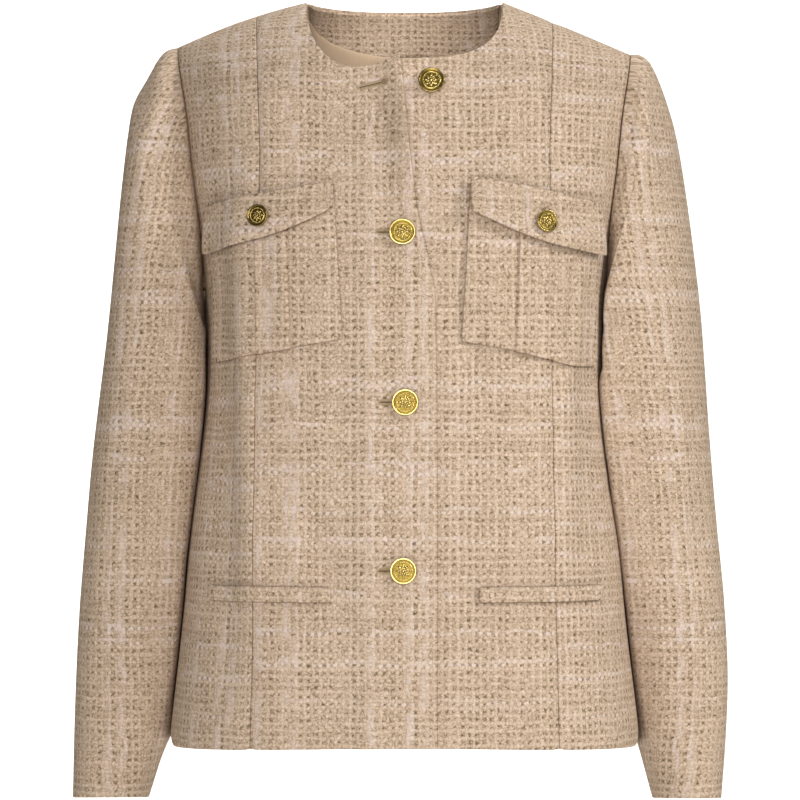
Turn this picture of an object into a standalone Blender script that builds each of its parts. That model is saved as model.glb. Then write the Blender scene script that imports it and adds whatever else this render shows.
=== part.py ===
"""A cropped, collarless tweed jacket, hollow as if worn.

Every panel is a thin cloth wall on one smooth body form, worked out from short tables of
real sizes.  +Z is up, the front faces -Y and the wearer's left arm is at +X.  The origin
lies between the two shoulder points, on the shoulder line.
"""
import math
from collections import namedtuple

import bmesh
import bpy
from mathutils import Matrix, Vector

MM = 0.001                      # every size below is in millimetres

# ---------------------------------------------------------------- driving sizes
WALL = 2.2                      # tweed with its backing
LINING_WALL = 1.0
FACING_WALL = 1.4
LINING_GAP = 1.4                # the lining hangs loose by this much
POCKET_GAP = 1.3                # and the pockets lie this far off the fronts
GAP = 0.3                       # between pieces that are sewn together
LAP_GAP = 0.7                   # between the two fronts where they overlap

NECK_HALF = 77.0                # half the width of the neck opening
NECK_TOP = 42.0                 # height of the side neck points
FRONT_NECK = -10.0              # height of the neck edge at centre front
BACK_NECK = 39.0                # and at centre back
NECK_CORNER = 3.0               # how square the front neck curve is
SHOULDER_SLOPE = {-1: 0.350, 1: 0.405}
SHOULDER_SWELL = {-1: 3.6, 1: 0.2}      # the shoulder line is this much fuller at its middle
SHOULDER_LENGTH = 104.0         # across, from the neck point to the shoulder point
SHOULDER_ROUND = {"front": 92.0, "back": 84.0}
SECTION_POWER = {"front": 2.9, "back": 2.5}
CAP_POWER = 2.15

HEM_FRONT = -544.0
HEM_SIDE = -551.0
UNDERARM = -195.0
ARMHOLE_STRAIGHT = -98.0        # the armhole runs straight down to here, then scoops
ARMHOLE_REACH = 0.96            # share of the half width where the armhole runs

Level = namedtuple("Level", "z half_width front back side_y")
BODY = [
    Level(46, 190.0, 80.0, 76.0, 0.0),
    Level(0, 187.5, 93.0, 84.0, 0.0),
    Level(-50, 179.0, 105.0, 96.0, 4.0),
    Level(-100, 173.0, 116.0, 102.0, 8.0),
    Level(-150, 164.5, 125.0, 103.0, 11.0),
    Level(-195, 159.5, 129.0, 100.0, 12.0),
    Level(-240, 158.5, 128.0, 97.0, 12.0),
    Level(-280, 160.0, 126.0, 95.0, 12.0),
    Level(-320, 163.5, 124.5, 95.0, 12.0),
    Level(-360, 168.0, 124.0, 97.0, 12.0),
    Level(-400, 172.5, 124.5, 100.0, 12.0),
    Level(-440, 176.0, 125.5, 103.0, 12.0),
    Level(-480, 180.0, 127.0, 106.0, 12.0),
    Level(-520, 184.5, 129.0, 110.0, 12.0),
    Level(-543, 186.5, 130.0, 112.0, 12.0),
    Level(-553, 184.0, 129.0, 110.5, 12.0),
]

Seam = namedtuple("Seam", "z x")
PRINCESS = [Seam(46, 119), Seam(-30, 115), Seam(-90, 113), Seam(-300, 115), Seam(-553, 120)]

# Free edges of the fronts.  Above the second button the top one is undone: the right
# front's edge rolls back and stands away, and the left front slides outwards.
Edge = namedtuple("Edge", "z right_edge lift left_edge")
EDGES = [
    Edge(10, -4.0, 15.0, -11.0),
    Edge(-10, -3.5, 15.0, -11.5),
    Edge(-31, -1.2, 14.0, -12.5),
    Edge(-83, 4.2, 10.5, -15.0),
    Edge(-132, 10.4, 4.6, -18.5),
    Edge(-165, 18.0, 1.0, -20.5),
    Edge(-200, 24.0, 0.0, -21.0),
    Edge(-553, 25.0, 0.0, -21.0),
]
LIFT_REACH = 22.0               # width of the strip that stands away
LAP_INNER = -46.0               # the lap's step out fades from LAP_FULL to here
LAP_FULL = -28.0

# How far the loose right neck edge sags below the left one.
Sag = namedtuple("Sag", "x drop")
NECK_SAG = [Sag(-77, 0), Sag(-71, 4.0), Sag(-60, 8.0), Sag(-48, 9.5), Sag(-36, 9.5), Sag(-22, 7.0), Sag(5, 5.0)]

# Soft folds of the body, as ridges (+) and troughs (-) that run from one end to the other.
Fold = namedtuple("Fold", "x_top z_top x_bottom z_bottom half_width height")
FOLDS = [
    Fold(-125, -120, -119, -430, 11, 4.2),
    Fold(-146, -130, -140, -470, 13, -4.6),
    Fold(-74, -360, -52, -430, 13, -2.6),
    Fold(40, -196, 74, -305, 14, -3.0),
    Fold(128, -240, 124, -400, 12, 2.2),
    Fold(143, -240, 141, -400, 11, -2.6),
]

# ---------------------------------------------------------------- sleeves
Ring = namedtuple("Ring", "outer_x outer_z inner_x inner_z mid_y half_depth turn_in")
SLEEVES = {
    -1: [
        Ring(180.0, 6.0, 159.5, -195, 0.0, 50.0, 0.0),
        Ring(188.5, 3.0, 159.5, -205, -2.0, 55.0, -1.0),
        Ring(196.0, -5.0, 159.0, -216, -4.0, 59.0, -3.0),
        Ring(204.0, -20.0, 152.5, -229, -5.0, 61.5, -6.0),
        Ring(212.5, -38.0, 149.0, -243, -6.0, 62.5, -10.0),
        Ring(215.5, -60.0, 147.0, -258, -7.0, 62.5, -13.0),
        Ring(219.0, -98.0, 146.5, -277, -7.0, 62.0, -15.0),
        Ring(223.5, -148.0, 147.5, -302, -6.0, 61.0, -16.0),
        Ring(229.5, -202.0, 150.0, -334, -3.0, 60.0, -16.0),
        Ring(237.0, -256.0, 153.5, -368, 1.0, 58.0, -14.0),
        Ring(245.0, -316.0, 158.0, -404, 6.0, 56.0, -12.0),
        Ring(252.0, -376.0, 163.0, -442, 11.0, 54.0, -9.0),
        Ring(258.5, -436.0, 169.0, -482, 16.0, 51.5, -6.0),
        Ring(262.5, -494.0, 178.0, -522, 20.0, 48.5, -4.0),
        Ring(265.0, -546.0, 195.0, -561, 23.0, 45.5, -2.0),
        Ring(266.5, -596.5, 206.0, -596.5, 25.0, 43.0, 0.0),
    ],
    1: [
        Ring(181.0, -0.5, 159.5, -195, 0.0, 50.0, 0.0),
        Ring(189.0, -1.0, 159.0, -205, 0.0, 53.0, 0.0),
        Ring(196.0, -7.0, 157.0, -216, -0.5, 55.5, 2.0),
        Ring(203.5, -22.0, 152.5, -229, -1.0, 56.5, 4.0),
        Ring(209.5, -38.0, 149.0, -243, -2.0, 56.5, 8.0),
        Ring(215.0, -60.0, 147.0, -258, -2.5, 56.0, 12.0),
        Ring(220.5, -96.0, 145.5, -277, -3.0, 56.0, 15.0),
        Ring(227.5, -148.0, 146.5, -302, -3.0, 57.0, 16.0),
        Ring(234.5, -202.0, 150.0, -334, -1.0, 58.0, 14.0),
        Ring(240.0, -256.0, 154.0, -368, 1.5, 57.5, 10.0),
        Ring(245.0, -316.0, 159.0, -404, 6.0, 56.0, 6.0),
        Ring(250.0, -376.0, 165.0, -442, 11.0, 54.0, 3.0),
        Ring(256.0, -436.0, 171.0, -482, 15.0, 51.5, 0.0),
        Ring(259.0, -494.0, 178.5, -522, 18.0, 48.5, -2.0),
        Ring(257.5, -546.0, 189.5, -560, 19.0, 45.5, -2.0),
        Ring(254.5, -596.5, 199.5, -596.5, 19.0, 43.0, 0.0),
    ],
}
SLEEVE_POWER = 2.3
CUFF_TILT = 0.09                # the front of the cuff is this much shorter, per mm of depth
SLEEVE_CLEAR = 1.4              # between a sleeve and the body that it hangs against
POCKET_CLEAR = 3.6              # and as much more in front, beside the pockets
POCKET_END = -262.0             # down to here
FRONT_ARM_SEAM = 150.0          # degrees round the sleeve, from its outer side by the front
HIND_ARM_SEAM = 244.0
UNDER_GAP = 1.2                 # the under sleeve's edges stay this far from its seams

# ---------------------------------------------------------------- pockets and buttons
Across = namedtuple("Across", "x flap_top flap_edge pocket_top pocket_edge")
POCKETS = {
    -1: [
        Across(51.0, -108.5, -130.0, -116.0, -229.0),
        Across(70.0, -111.0, -139.0, -119.0, -232.5),
        Across(90.0, -114.0, -147.0, -122.0, -236.0),
        Across(112.0, -117.5, -153.5, -125.0, -240.0),
        Across(132.0, -120.5, -158.0, -128.5, -244.0),
        Across(152.0, -124.0, -162.0, -132.0, -247.0),
    ],
    1: [
        Across(47.0, -104.0, -132.0, -112.0, -231.0),
        Across(66.0, -107.0, -140.5, -115.0, -234.5),
        Across(86.0, -110.5, -149.0, -118.5, -238.0),
        Across(108.0, -114.5, -156.0, -122.5, -243.5),
        Across(128.0, -118.5, -160.0, -126.5, -249.5),
        Across(149.0, -122.5, -163.0, -130.5, -250.0),
    ],
}
POCKET_LEAN = 7.0               # the inner edge leans inwards by this much from top to bottom
POCKET_WALL = 1.8
PLEAT_HALF = 11.5               # half the width of the box pleat, a flat fold down the pocket
PLEAT_HEIGHT = 1.6
FLAP_WALL = 2.2
FLAP_STAND = 3.6                # the flap's lower edge stands this far off the pocket

WELT_X = (57.0, 152.0)
WELT_TOP = -420.0
WELT_HEIGHT = 12.0
WELT_WALL = 2.0

Button = namedtuple("Button", "name x z radius")
FRONT_BUTTONS = [
    Button("button_chest", -1.8, -147.5, 10.0),
    Button("button_waist", 0.4, -277.5, 10.0),
    Button("button_low", -1.0, -407.5, 10.0),
]
TOP_BUTTON = Button("button_top", 20.5, -29.5, 10.0)
FLAP_BUTTONS = {
    -1: Button("button_flap_right", -108.0, -135.0, 8.5),
    1: Button("button_flap_left", 104.5, -139.5, 8.5),
}
SHANK_RADIUS = 1.7
EYELET_RADIUS = 2.4
HOLE_LENGTH = 19.0
HOLE_WIDTH = 1.0
TOP_HOLE = (-15.8, -31.5)       # the open buttonhole's eyelet, on the right front
TOP_HOLE_SLANT = -14.0          # degrees

FACING_ROWS = 6                 # rows of the back that the neck facing covers, 44 mm of it

BODY_ROWS = 18                  # rows of a body panel below the shoulder's curve
SHOULDER_ROWS = 7               # and over it
SLEEVE_ROWS = 24
UPPER_COLUMNS = 15              # columns of an upper sleeve
UNDER_COLUMNS = 6               # and of an under sleeve
FRONT_NECK_COLUMNS = 8          # columns of a centre front along the neck
NECK_COLUMNS = 5                # columns of half the back along the neck
SHOULDER_COLUMNS = 4            # and along a shoulder seam
ARMHOLE_COLUMNS = 7             # and down an armhole

COLOURS = {
    "tweed": (0.55, 0.43, 0.31),
    "satin": (0.62, 0.46, 0.36),
    "brass": (0.50, 0.36, 0.12),
}


# ---------------------------------------------------------------- interpolation
def curve(at, values, place):
    """Value at a place on a smooth curve through the values, which lie at ascending places."""
    place = min(max(place, at[0]), at[-1])
    i = 0
    while i < len(at) - 2 and place > at[i + 1]:
        i += 1
    span = at[i + 1] - at[i]
    t = (place - at[i]) / span

    def slope(k):
        if k == 0 or k == len(at) - 1:
            other = 1 if k == 0 else k - 1
            return (values[other] - values[k]) / (at[other] - at[k])
        return (values[k + 1] - values[k - 1]) / (at[k + 1] - at[k - 1])

    h00 = 2 * t**3 - 3 * t**2 + 1
    h10 = t**3 - 2 * t**2 + t
    h01 = -2 * t**3 + 3 * t**2
    h11 = t**3 - t**2
    return h00 * values[i] + h10 * span * slope(i) + h01 * values[i + 1] + h11 * span * slope(i + 1)


def smooth(rows, column, z, key="z"):
    """Value of one column of a table at a height, on a smooth curve through its rows."""
    rows = sorted(rows, key=lambda row: getattr(row, key))
    return curve([getattr(row, key) for row in rows], [getattr(row, column) for row in rows], z)


def ease(t):
    """0 to 1 with level ends."""
    t = min(max(t, 0.0), 1.0)
    return t * t * (3 - 2 * t)


def mix(a, b, t):
    return a + (b - a) * t


# ---------------------------------------------------------------- the body form
def shoulder_height(x):
    """Height of the shoulder line over x.  It carries on over the neck in a low arch."""
    side = -1 if x < 0 else 1
    past = abs(x) - NECK_HALF
    if past < 0:
        mean = sum(SHOULDER_SLOPE.values()) / 2
        return NECK_TOP + mean * (NECK_HALF**2 - x * x) / (2 * NECK_HALF)
    swell = SHOULDER_SWELL[side] * math.sin(math.pi * min(past / SHOULDER_LENGTH, 1.0))
    return NECK_TOP - SHOULDER_SLOPE[side] * past + swell


def section(z):
    """Half width, depth to the front and back, and the side seam's y, at a height."""
    return [smooth(BODY, column, z) for column in ("half_width", "front", "back", "side_y")]


def face(turn):
    return "front" if abs(turn) <= 90 else "back"


def bare_point(turn, z):
    """A point of the body form.  turn is degrees round from centre front (0) to centre
    back (180), positive to the wearer's left.  Past the shoulder line it carries on down
    the other side."""
    half, front, back, side_y = section(z)
    power = SECTION_POWER[face(turn)]
    angle = math.radians(turn)
    s, c = math.sin(angle), math.cos(angle)
    reach = (abs(s) ** power + abs(c) ** power) ** (-1 / power)
    x = half * reach * s
    ridge = shoulder_height(x)
    if z > ridge:
        below = 2 * ridge - z
        return bare_point(turn_at(x, below, "back" if face(turn) == "front" else "front"), below)
    down = min((ridge - z) / SHOULDER_ROUND[face(turn)], 1.0)
    cap = max(1 - (1 - down) ** CAP_POWER, 0.0) ** (1 / CAP_POWER)
    depth = front + side_y if face(turn) == "front" else back - side_y
    y = side_y * cap - depth * reach * c * cap
    return Vector((x, y, z))


def body_normal(turn, z):
    """Outward direction of the body form.  Near the shoulder line the step across runs
    along that line."""
    here = shoulder_height(bare_point(turn, z).x)
    near = ease(1 - (here - z) / 100)

    def beside(step):
        shift = shoulder_height(bare_point(turn + step, z).x) - here
        return bare_point(turn + step, z + shift * near)

    across = beside(1.5) - beside(-1.5)
    up = bare_point(turn, z + 2.5) - bare_point(turn, z - 2.5)
    return across.cross(up).normalized()


def fold_height(x, z):
    """How far the soft folds raise the front at a place."""
    total = 0.0
    for fold in FOLDS:
        along = (fold.z_top - z) / (fold.z_top - fold.z_bottom)
        centre = mix(fold.x_top, fold.x_bottom, min(max(along, 0.0), 1.0))
        ends = ease(min(along, 1 - along) * 3 + 0.5)
        total += fold.height * ends * math.exp(-(((x - centre) / fold.half_width) ** 2))
    return total


def body_point(turn, z, out=0.0):
    """A point of the cloth, out millimetres off the body form."""
    point = bare_point(turn, z)
    if point.y < 0:
        out += fold_height(point.x, z)
    return point + body_normal(turn, z) * out


def turn_at(x, z, side="front"):
    """The turn of the point at x on the front or back at a height."""
    half = section(z)[0]
    power = SECTION_POWER[side]
    share = min(abs(x) / half, 1.0)
    depth = max(1 - share**power, 0.0) ** (1 / power)
    turn = math.degrees(math.atan2(share, depth))
    if side == "back":
        turn = 180 - turn
    return math.copysign(turn, x) if x else (0.0 if side == "front" else 180.0)


def hem_height(turn):
    return HEM_FRONT + (HEM_SIDE - HEM_FRONT) * math.sin(math.radians(min(abs(turn), 90))) ** 2


def armhole_turn(z, side):
    """The turn of the armhole's edge at a height, on the wearer's left."""
    top = turn_at(ARMHOLE_REACH * section(z)[0], z, side)
    drop = min(max((ARMHOLE_STRAIGHT - z) / (ARMHOLE_STRAIGHT - UNDERARM), 0.0), 1.0)
    return mix(top, 90.0, 1 - math.sqrt(max(1 - drop * drop, 0.0)))


def shoulder_tip(side):
    """x and z of the shoulder point, where the armhole meets the shoulder line."""
    x = ARMHOLE_REACH * section(0.0)[0]
    for _ in range(4):
        x = ARMHOLE_REACH * section(shoulder_height(side * x))[0]
    return x, shoulder_height(side * x)


def neck_height(x, side="front", loose=False):
    """Height of the neck edge over x.  The right front's edge is loose."""
    share = min(abs(x) / NECK_HALF, 1.0)
    if side == "back":
        return mix(BACK_NECK, NECK_TOP, share**3)
    curve = 1 - max(1 - share**NECK_CORNER, 0.0) ** (1 / NECK_CORNER)
    height = mix(FRONT_NECK, NECK_TOP, curve)
    return height - (smooth(NECK_SAG, "drop", x, "x") if loose else 0.0)


def top_height(x, side="front", loose=False):
    """Height of a panel's top edge over x: the neck edge, then the shoulder seam."""
    return neck_height(x, side, loose) if abs(x) < NECK_HALF else shoulder_height(x)


def neck_columns(count):
    """Distances from the centre that are even along the curve of the front neck edge."""
    turns = spread(0.0, math.pi / 2, count)
    return [NECK_HALF * math.sin(turn) ** (2 / NECK_CORNER) for turn in turns]


# ---------------------------------------------------------------- rows and columns
def row_shares():
    """Shares of a column's height from the hem up: two close rows at the hem, even ones up
    the body and equal turns of the curve over the shoulder."""
    tall = NECK_TOP - HEM_SIDE
    round_it = SHOULDER_ROUND["front"] / tall
    shares = [0.0, 0.012]
    shares += spread(0.03, 1 - round_it, BODY_ROWS)
    for i in range(1, SHOULDER_ROWS + 1):
        shares.append(1 - round_it * (1 - math.cos(math.pi / 2 * (1 - i / SHOULDER_ROWS))))
    return shares


def spread(start, end, count):
    return [mix(start, end, i / (count - 1)) for i in range(count)]


def pull_in(grid, left=GAP / 2, right=GAP / 2, bottom=0.0, top=GAP / 2):
    """Draw a grid's edges in, so that its seams stay clear of the next panels."""
    def toward(point, other, by):
        step = other - point
        return point + step.normalized() * by if step.length > 1e-6 else point

    grid = [list(row) for row in grid]
    for row in grid:
        row[0] = toward(row[0], row[1], left)
        row[-1] = toward(row[-1], row[-2], right)
    grid[0] = [toward(p, q, bottom) for p, q in zip(grid[0], grid[1])]
    grid[-1] = [toward(p, q, top) for p, q in zip(grid[-1], grid[-2])]
    return grid


def layers(place, outer, inner, **edges):
    """The outer and inner grid of a wall.  place is a grid of functions of how far out."""
    grids = []
    for out in (outer, inner):
        grids.append(pull_in([[at(out) for at in row] for row in place], **edges))
    return grids


# ---------------------------------------------------------------- meshes
def new_object(name, mesh, finish):
    piece = bpy.data.objects.new(name, mesh)
    piece.data.materials.append(MATERIALS[finish])
    JACKET.objects.link(piece)
    return piece


def cloth_wall(name, outer, inner, finish="tweed", flip=False):
    """A closed wall between two grids of points that match row for row.  Each square is
    cut along the same diagonal in both, so that layers made from one grid stay parallel."""
    rows, columns = len(outer), len(outer[0])
    points = [p * MM for grid in (outer, inner) for row in grid for p in row]

    def at(layer, row, column):
        return layer * rows * columns + row * columns + column

    faces = []
    for row in range(rows - 1):
        for column in range(columns - 1):
            here, beside = (row, column), (row, column + 1)
            above, across = (row + 1, column), (row + 1, column + 1)
            for corners in ((here, beside, across), (here, across, above)):
                faces.append([at(0, *corner) for corner in corners])
                faces.append([at(1, *corner) for corner in reversed(corners)])
    rim = [(0, c) for c in range(columns)]
    rim += [(r, columns - 1) for r in range(1, rows)]
    rim += [(rows - 1, c) for c in range(columns - 2, -1, -1)]
    rim += [(r, 0) for r in range(rows - 2, 0, -1)]
    for here, there in zip(rim, rim[1:] + rim[:1]):
        faces.append([at(0, *there), at(0, *here), at(1, *here), at(1, *there)])
    if flip:
        faces = [list(reversed(one)) for one in faces]
    mesh = bpy.data.meshes.new(name)
    mesh.from_pydata(points, [], faces)
    mesh.shade_smooth()
    mesh.set_sharp_from_angle(angle=math.radians(40))
    return new_object(name, mesh, finish)


# ---------------------------------------------------------------- body panels
def lap_out(x, z):
    """How far the right front stands off the body form, over the left one."""
    edge = smooth(EDGES, "right_edge", z)
    step = (WALL + LAP_GAP) * ease((x - LAP_INNER) / (LAP_FULL - LAP_INNER))
    lift = smooth(EDGES, "lift", z) * ease(1 - (edge - x) / LIFT_REACH)
    return step + lift


def front_places(side):
    """Grid of places of one centre front, from its free edge to the princess seam."""
    column = "right_edge" if side < 0 else "left_edge"
    across = [smooth(EDGES, column, FRONT_NECK)]
    across += [side * x for x in neck_columns(FRONT_NECK_COLUMNS)[1:]]
    across += spread(side * NECK_HALF, side * smooth(PRINCESS, "x", 26), 4)[1:]

    def line(z, part):
        """x at a height, part of the way from the free edge to the princess seam."""
        return mix(smooth(EDGES, column, z), side * smooth(PRINCESS, "x", z), part)

    places = []
    for share in row_shares():
        row = []
        for k, x_top in enumerate(across):
            even = k / (len(across) - 1)
            part_top = (x_top - across[0]) / (across[-1] - across[0])
            z_top = top_height(x_top, loose=side < 0)
            z_hem = hem_height(turn_at(line(HEM_FRONT, even), HEM_FRONT))
            z = mix(z_hem, z_top, share)
            x = line(z, mix(even, part_top, ease(share)))
            x += (x_top - line(z_top, part_top)) * ease(share)
            turn = turn_at(x, z)
            raised = lap_out(x, z) if side < 0 else 0.0
            row.append(lambda out, turn=turn, z=z, raised=raised: body_point(turn, z, out + raised))
        places.append(row)
    return places


def side_front_tops(side):
    """Turn and height of the top of each column of a side front."""
    tip_x, tip_z = shoulder_tip(side)
    seam_x = smooth(PRINCESS, "x", 26)
    tops = []
    for x in spread(seam_x, tip_x, 4):
        z = shoulder_height(side * x)
        tops.append((turn_at(x, z), z))
    return tops + [(armhole_turn(z, "front"), z) for z in armhole_heights(tip_z)[1:]]


def armhole_heights(tip_z):
    """Heights down an armhole's edge, closer together where it scoops."""
    steps = spread(0.0, math.pi / 2, ARMHOLE_COLUMNS)
    return [UNDERARM + (tip_z - UNDERARM) * (1 - math.sin(step)) for step in steps]


def side_front_places(side):
    tops = side_front_tops(side)
    places = []
    for share in row_shares():
        row = []
        for k, (turn_top, z_top) in enumerate(tops):
            seam_top = turn_at(smooth(PRINCESS, "x", z_top), z_top)
            u_top = (turn_top - seam_top) / (90 - seam_top)
            u = mix(k / (len(tops) - 1), u_top, share)
            seam_hem = turn_at(smooth(PRINCESS, "x", HEM_SIDE), HEM_SIDE)
            z_hem = hem_height(mix(seam_hem, 90, k / (len(tops) - 1)))
            z = mix(z_hem, z_top, share)
            seam = turn_at(smooth(PRINCESS, "x", z), z)
            turn = mix(seam, 90, u) * side
            row.append(lambda out, turn=turn, z=z: body_point(turn, z, out))
        places.append(row)
    return places


def back_tops():
    """Turn and height of the top of each column of the back, from right to left, and how
    many of them lie on the neck edge."""
    halves = {}
    for side in (-1, 1):
        tip_x, tip_z = shoulder_tip(side)
        half = []
        for x in spread(0.0, NECK_HALF, NECK_COLUMNS) + spread(NECK_HALF, tip_x, SHOULDER_COLUMNS)[1:]:
            z = top_height(side * x, "back")
            half.append((turn_at(x, z, "back"), z))
        half += [(armhole_turn(z, "back"), z) for z in armhole_heights(tip_z)[1:]]
        halves[side] = half
    return [(360 - turn, z) for turn, z in reversed(halves[-1])] + halves[1][1:]


def back_places():
    """Grid of places of the back.  Turns run from the wearer's right side seam (270) round
    centre back (180) to the left one (90)."""
    tops = back_tops()
    places = []
    for share in row_shares():
        row = []
        for k, (turn_top, z_top) in enumerate(tops):
            turn = mix(mix(270, 90, k / (len(tops) - 1)), turn_top, share)
            turn = turn if turn <= 180 else turn - 360
            z = mix(hem_height(90), z_top, share)
            row.append(lambda out, turn=turn, z=z: body_point(turn, z, out))
        places.append(row)
    return places


def build_body():
    for side, name in ((-1, "right"), (1, "left")):
        outer, inner = layers(front_places(side), 0.0, -WALL, left=0.0)
        cloth_wall(f"front_{name}", outer, inner, flip=side < 0)
        outer, inner = layers(side_front_places(side), 0.0, -WALL)
        cloth_wall(f"side_front_{name}", outer, inner, flip=side < 0)
    outer, inner = layers(back_places(), 0.0, -WALL)
    cloth_wall("back", outer, inner, flip=True)


# ---------------------------------------------------------------- sleeves
def armhole_loop(side, around):
    """Point of the armhole's edge.  around is degrees from the shoulder point (0) by the
    front (90) to the underarm (180) and up the back."""
    tip_x, tip_z = shoulder_tip(side)
    angle = math.radians(around)
    z = mix(UNDERARM, tip_z, (1 + math.cos(angle)) / 2)
    facing = "front" if math.sin(angle) >= 0 else "back"
    return bare_point(armhole_turn(z, facing) * side, z - 1e-6)


def ring_value(side, column, along):
    """Value of a column of the sleeve's rings, part of the way from the armhole to the cuff."""
    rings = SLEEVES[side]
    values = [getattr(ring, column) for ring in rings]
    return curve(range(len(rings)), values, along * (len(rings) - 1))


def plain_sleeve_point(side, around, along):
    """A point of the sleeve as plain rings between its outer and inner lines."""
    value = {column: ring_value(side, column, along) for column in Ring._fields}
    angle = math.radians(around)
    s, c = math.sin(angle), math.cos(angle)
    toward_outer = math.copysign(abs(c) ** (2 / SLEEVE_POWER), c)
    toward_front = math.copysign(abs(s) ** (2 / SLEEVE_POWER), s)
    outer = Vector((value["outer_x"], 0, value["outer_z"]))
    inner = Vector((value["inner_x"], 0, value["inner_z"]))
    point = (outer + inner) / 2 + (outer - inner) / 2 * toward_outer
    point.x -= value["turn_in"] * toward_front
    point.y = value["mid_y"] - value["half_depth"] * toward_front
    point.z -= CUFF_TILT * (point.y - value["mid_y"]) * ease(along * 2 - 1)
    return point


def clear_of_body(point):
    """Push a point of a sleeve out until it hangs beside the body."""
    if point.z > UNDERARM + 12:
        return point
    half, front, back, side_y = section(point.z)
    off = point.y - side_y
    depth = front + side_y if off < 0 else back - side_y
    power = SECTION_POWER["front" if off < 0 else "back"]
    share = min(abs(off) / depth, 1.0)
    beside = ease((-30 - point.y) / 25) * ease((point.z - POCKET_END) / 12)
    clear = SLEEVE_CLEAR + POCKET_CLEAR * beside
    limit = half * (1 - share**power) ** (1 / power) + clear
    point.x = max(point.x, limit)
    return point


def sleeve_point(side, around, along):
    point = plain_sleeve_point(side, around, along)
    weight = 1 - ease(along * (len(SLEEVES[side]) - 1) / 3.2)
    if weight:
        loop = armhole_loop(side, around)
        loop.x = abs(loop.x)
        point += (loop - plain_sleeve_point(side, around, 0.0)) * weight
    point.x += 0.4
    point = clear_of_body(point)
    point.x *= side
    return point


def sleeve_out(side, around, along, out):
    """The sleeve's point, out millimetres off its surface."""
    step = 0.008
    low, high = max(along - step, 0.0), min(along + step, 1.0)
    down = sleeve_point(side, around, high) - sleeve_point(side, around, low)
    round_it = sleeve_point(side, around + 3, along) - sleeve_point(side, around - 3, along)
    normal = round_it.cross(down).normalized() * side
    return sleeve_point(side, around, along) + normal * out


def sleeve_places(side, start, end, count):
    places = []
    for i in range(SLEEVE_ROWS):
        along = 1 - i / (SLEEVE_ROWS - 1)
        row = []
        for around in spread(start, end, count):
            row.append(lambda out, around=around, along=along: sleeve_out(side, around, along, out))
        places.append(row)
    return places


def build_sleeves():
    for side, name in ((-1, "right"), (1, "left")):
        upper = sleeve_places(side, HIND_ARM_SEAM - 360, FRONT_ARM_SEAM, UPPER_COLUMNS)
        outer, inner = layers(upper, 0.0, -WALL, top=0.0, left=GAP, right=GAP)
        cloth_wall(f"sleeve_upper_{name}", outer, inner, flip=side > 0)
        under = sleeve_places(side, FRONT_ARM_SEAM, HIND_ARM_SEAM, UNDER_COLUMNS)
        outer, inner = layers(under, 0.0, -WALL, top=0.0, left=UNDER_GAP, right=UNDER_GAP)
        cloth_wall(f"sleeve_under_{name}", outer, inner, flip=side > 0)


# ---------------------------------------------------------------- pockets
def pocket_place(side, x, z):
    return lambda out: body_point(turn_at(side * x, z), z, out)


def patch(side, name, low, high, rows, thickness, leans, under, raised):
    """A cloth patch over a front, between two edges of the pocket's table.  under says how
    far off the front its back lies from bottom (0) to top (1), and raised lifts its face."""
    table = POCKETS[side]
    inner_x, outer_x = table[0].x, table[-1].x
    middle = (inner_x + outer_x) / 2
    step = [middle - PLEAT_HALF - 0.5, middle - PLEAT_HALF + 0.5]
    step += [middle, middle + PLEAT_HALF - 0.5, middle + PLEAT_HALF + 0.5]
    across = spread(inner_x, step[0], 6)[:-1] + step + spread(step[-1], outer_x, 6)[1:]
    outer, inner = [], []
    for share in spread(0.0, 1.0, rows):
        places = []
        for x in across:
            z = mix(smooth(table, low, x, "x"), smooth(table, high, x, "x"), share)
            lean = POCKET_LEAN * (outer_x - x) / (outer_x - inner_x) * leans(share)
            places.append((pocket_place(side, x + lean, z), raised(abs(x - middle))))
        outer.append([place(under(share) + thickness + lift) for place, lift in places])
        inner.append([place(under(share)) for place, lift in places])
    cloth_wall(name, outer, inner, flip=side < 0)


def pleat_out(off_middle):
    """The box pleat's step out on the chest pocket."""
    return PLEAT_HEIGHT if off_middle < PLEAT_HALF else 0.0


def build_pocket(side, name):
    patch(side, f"chest_pocket_{name}", "pocket_edge", "pocket_top", 8, POCKET_WALL,
          lambda share: share - 0.5, lambda share: POCKET_GAP, pleat_out)


def build_flap(side, name):
    base = POCKET_GAP + POCKET_WALL + PLEAT_HEIGHT + GAP
    patch(side, f"flap_{name}", "flap_edge", "flap_top", 5, FLAP_WALL,
          lambda share: 0.5, lambda share: base + FLAP_STAND * ease(1 - share), lambda off: 0.0)


def build_welt(side, name):
    outer, inner = [], []
    for z in (WELT_TOP - WELT_HEIGHT, WELT_TOP - WELT_HEIGHT / 2, WELT_TOP):
        across = spread(WELT_X[0], WELT_X[1], 13)
        outer.append([pocket_place(side, x, z)(POCKET_GAP + WELT_WALL) for x in across])
        inner.append([pocket_place(side, x, z)(POCKET_GAP) for x in across])
    cloth_wall(f"welt_{name}", outer, inner, flip=side < 0)


def build_pockets():
    for side, name in ((-1, "right"), (1, "left")):
        build_pocket(side, name)
        build_flap(side, name)
        build_welt(side, name)


# ---------------------------------------------------------------- buttons
def frame_at(point, normal):
    """Matrix that puts local +Z along a normal, and local +X level, at a point."""
    z_axis = normal.normalized()
    x_axis = Vector((0, 0, 1)).cross(z_axis).normalized()
    y_axis = z_axis.cross(x_axis)
    turn = Matrix((x_axis, y_axis, z_axis)).transposed().to_4x4()
    return Matrix.Translation(point * MM) @ turn


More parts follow.
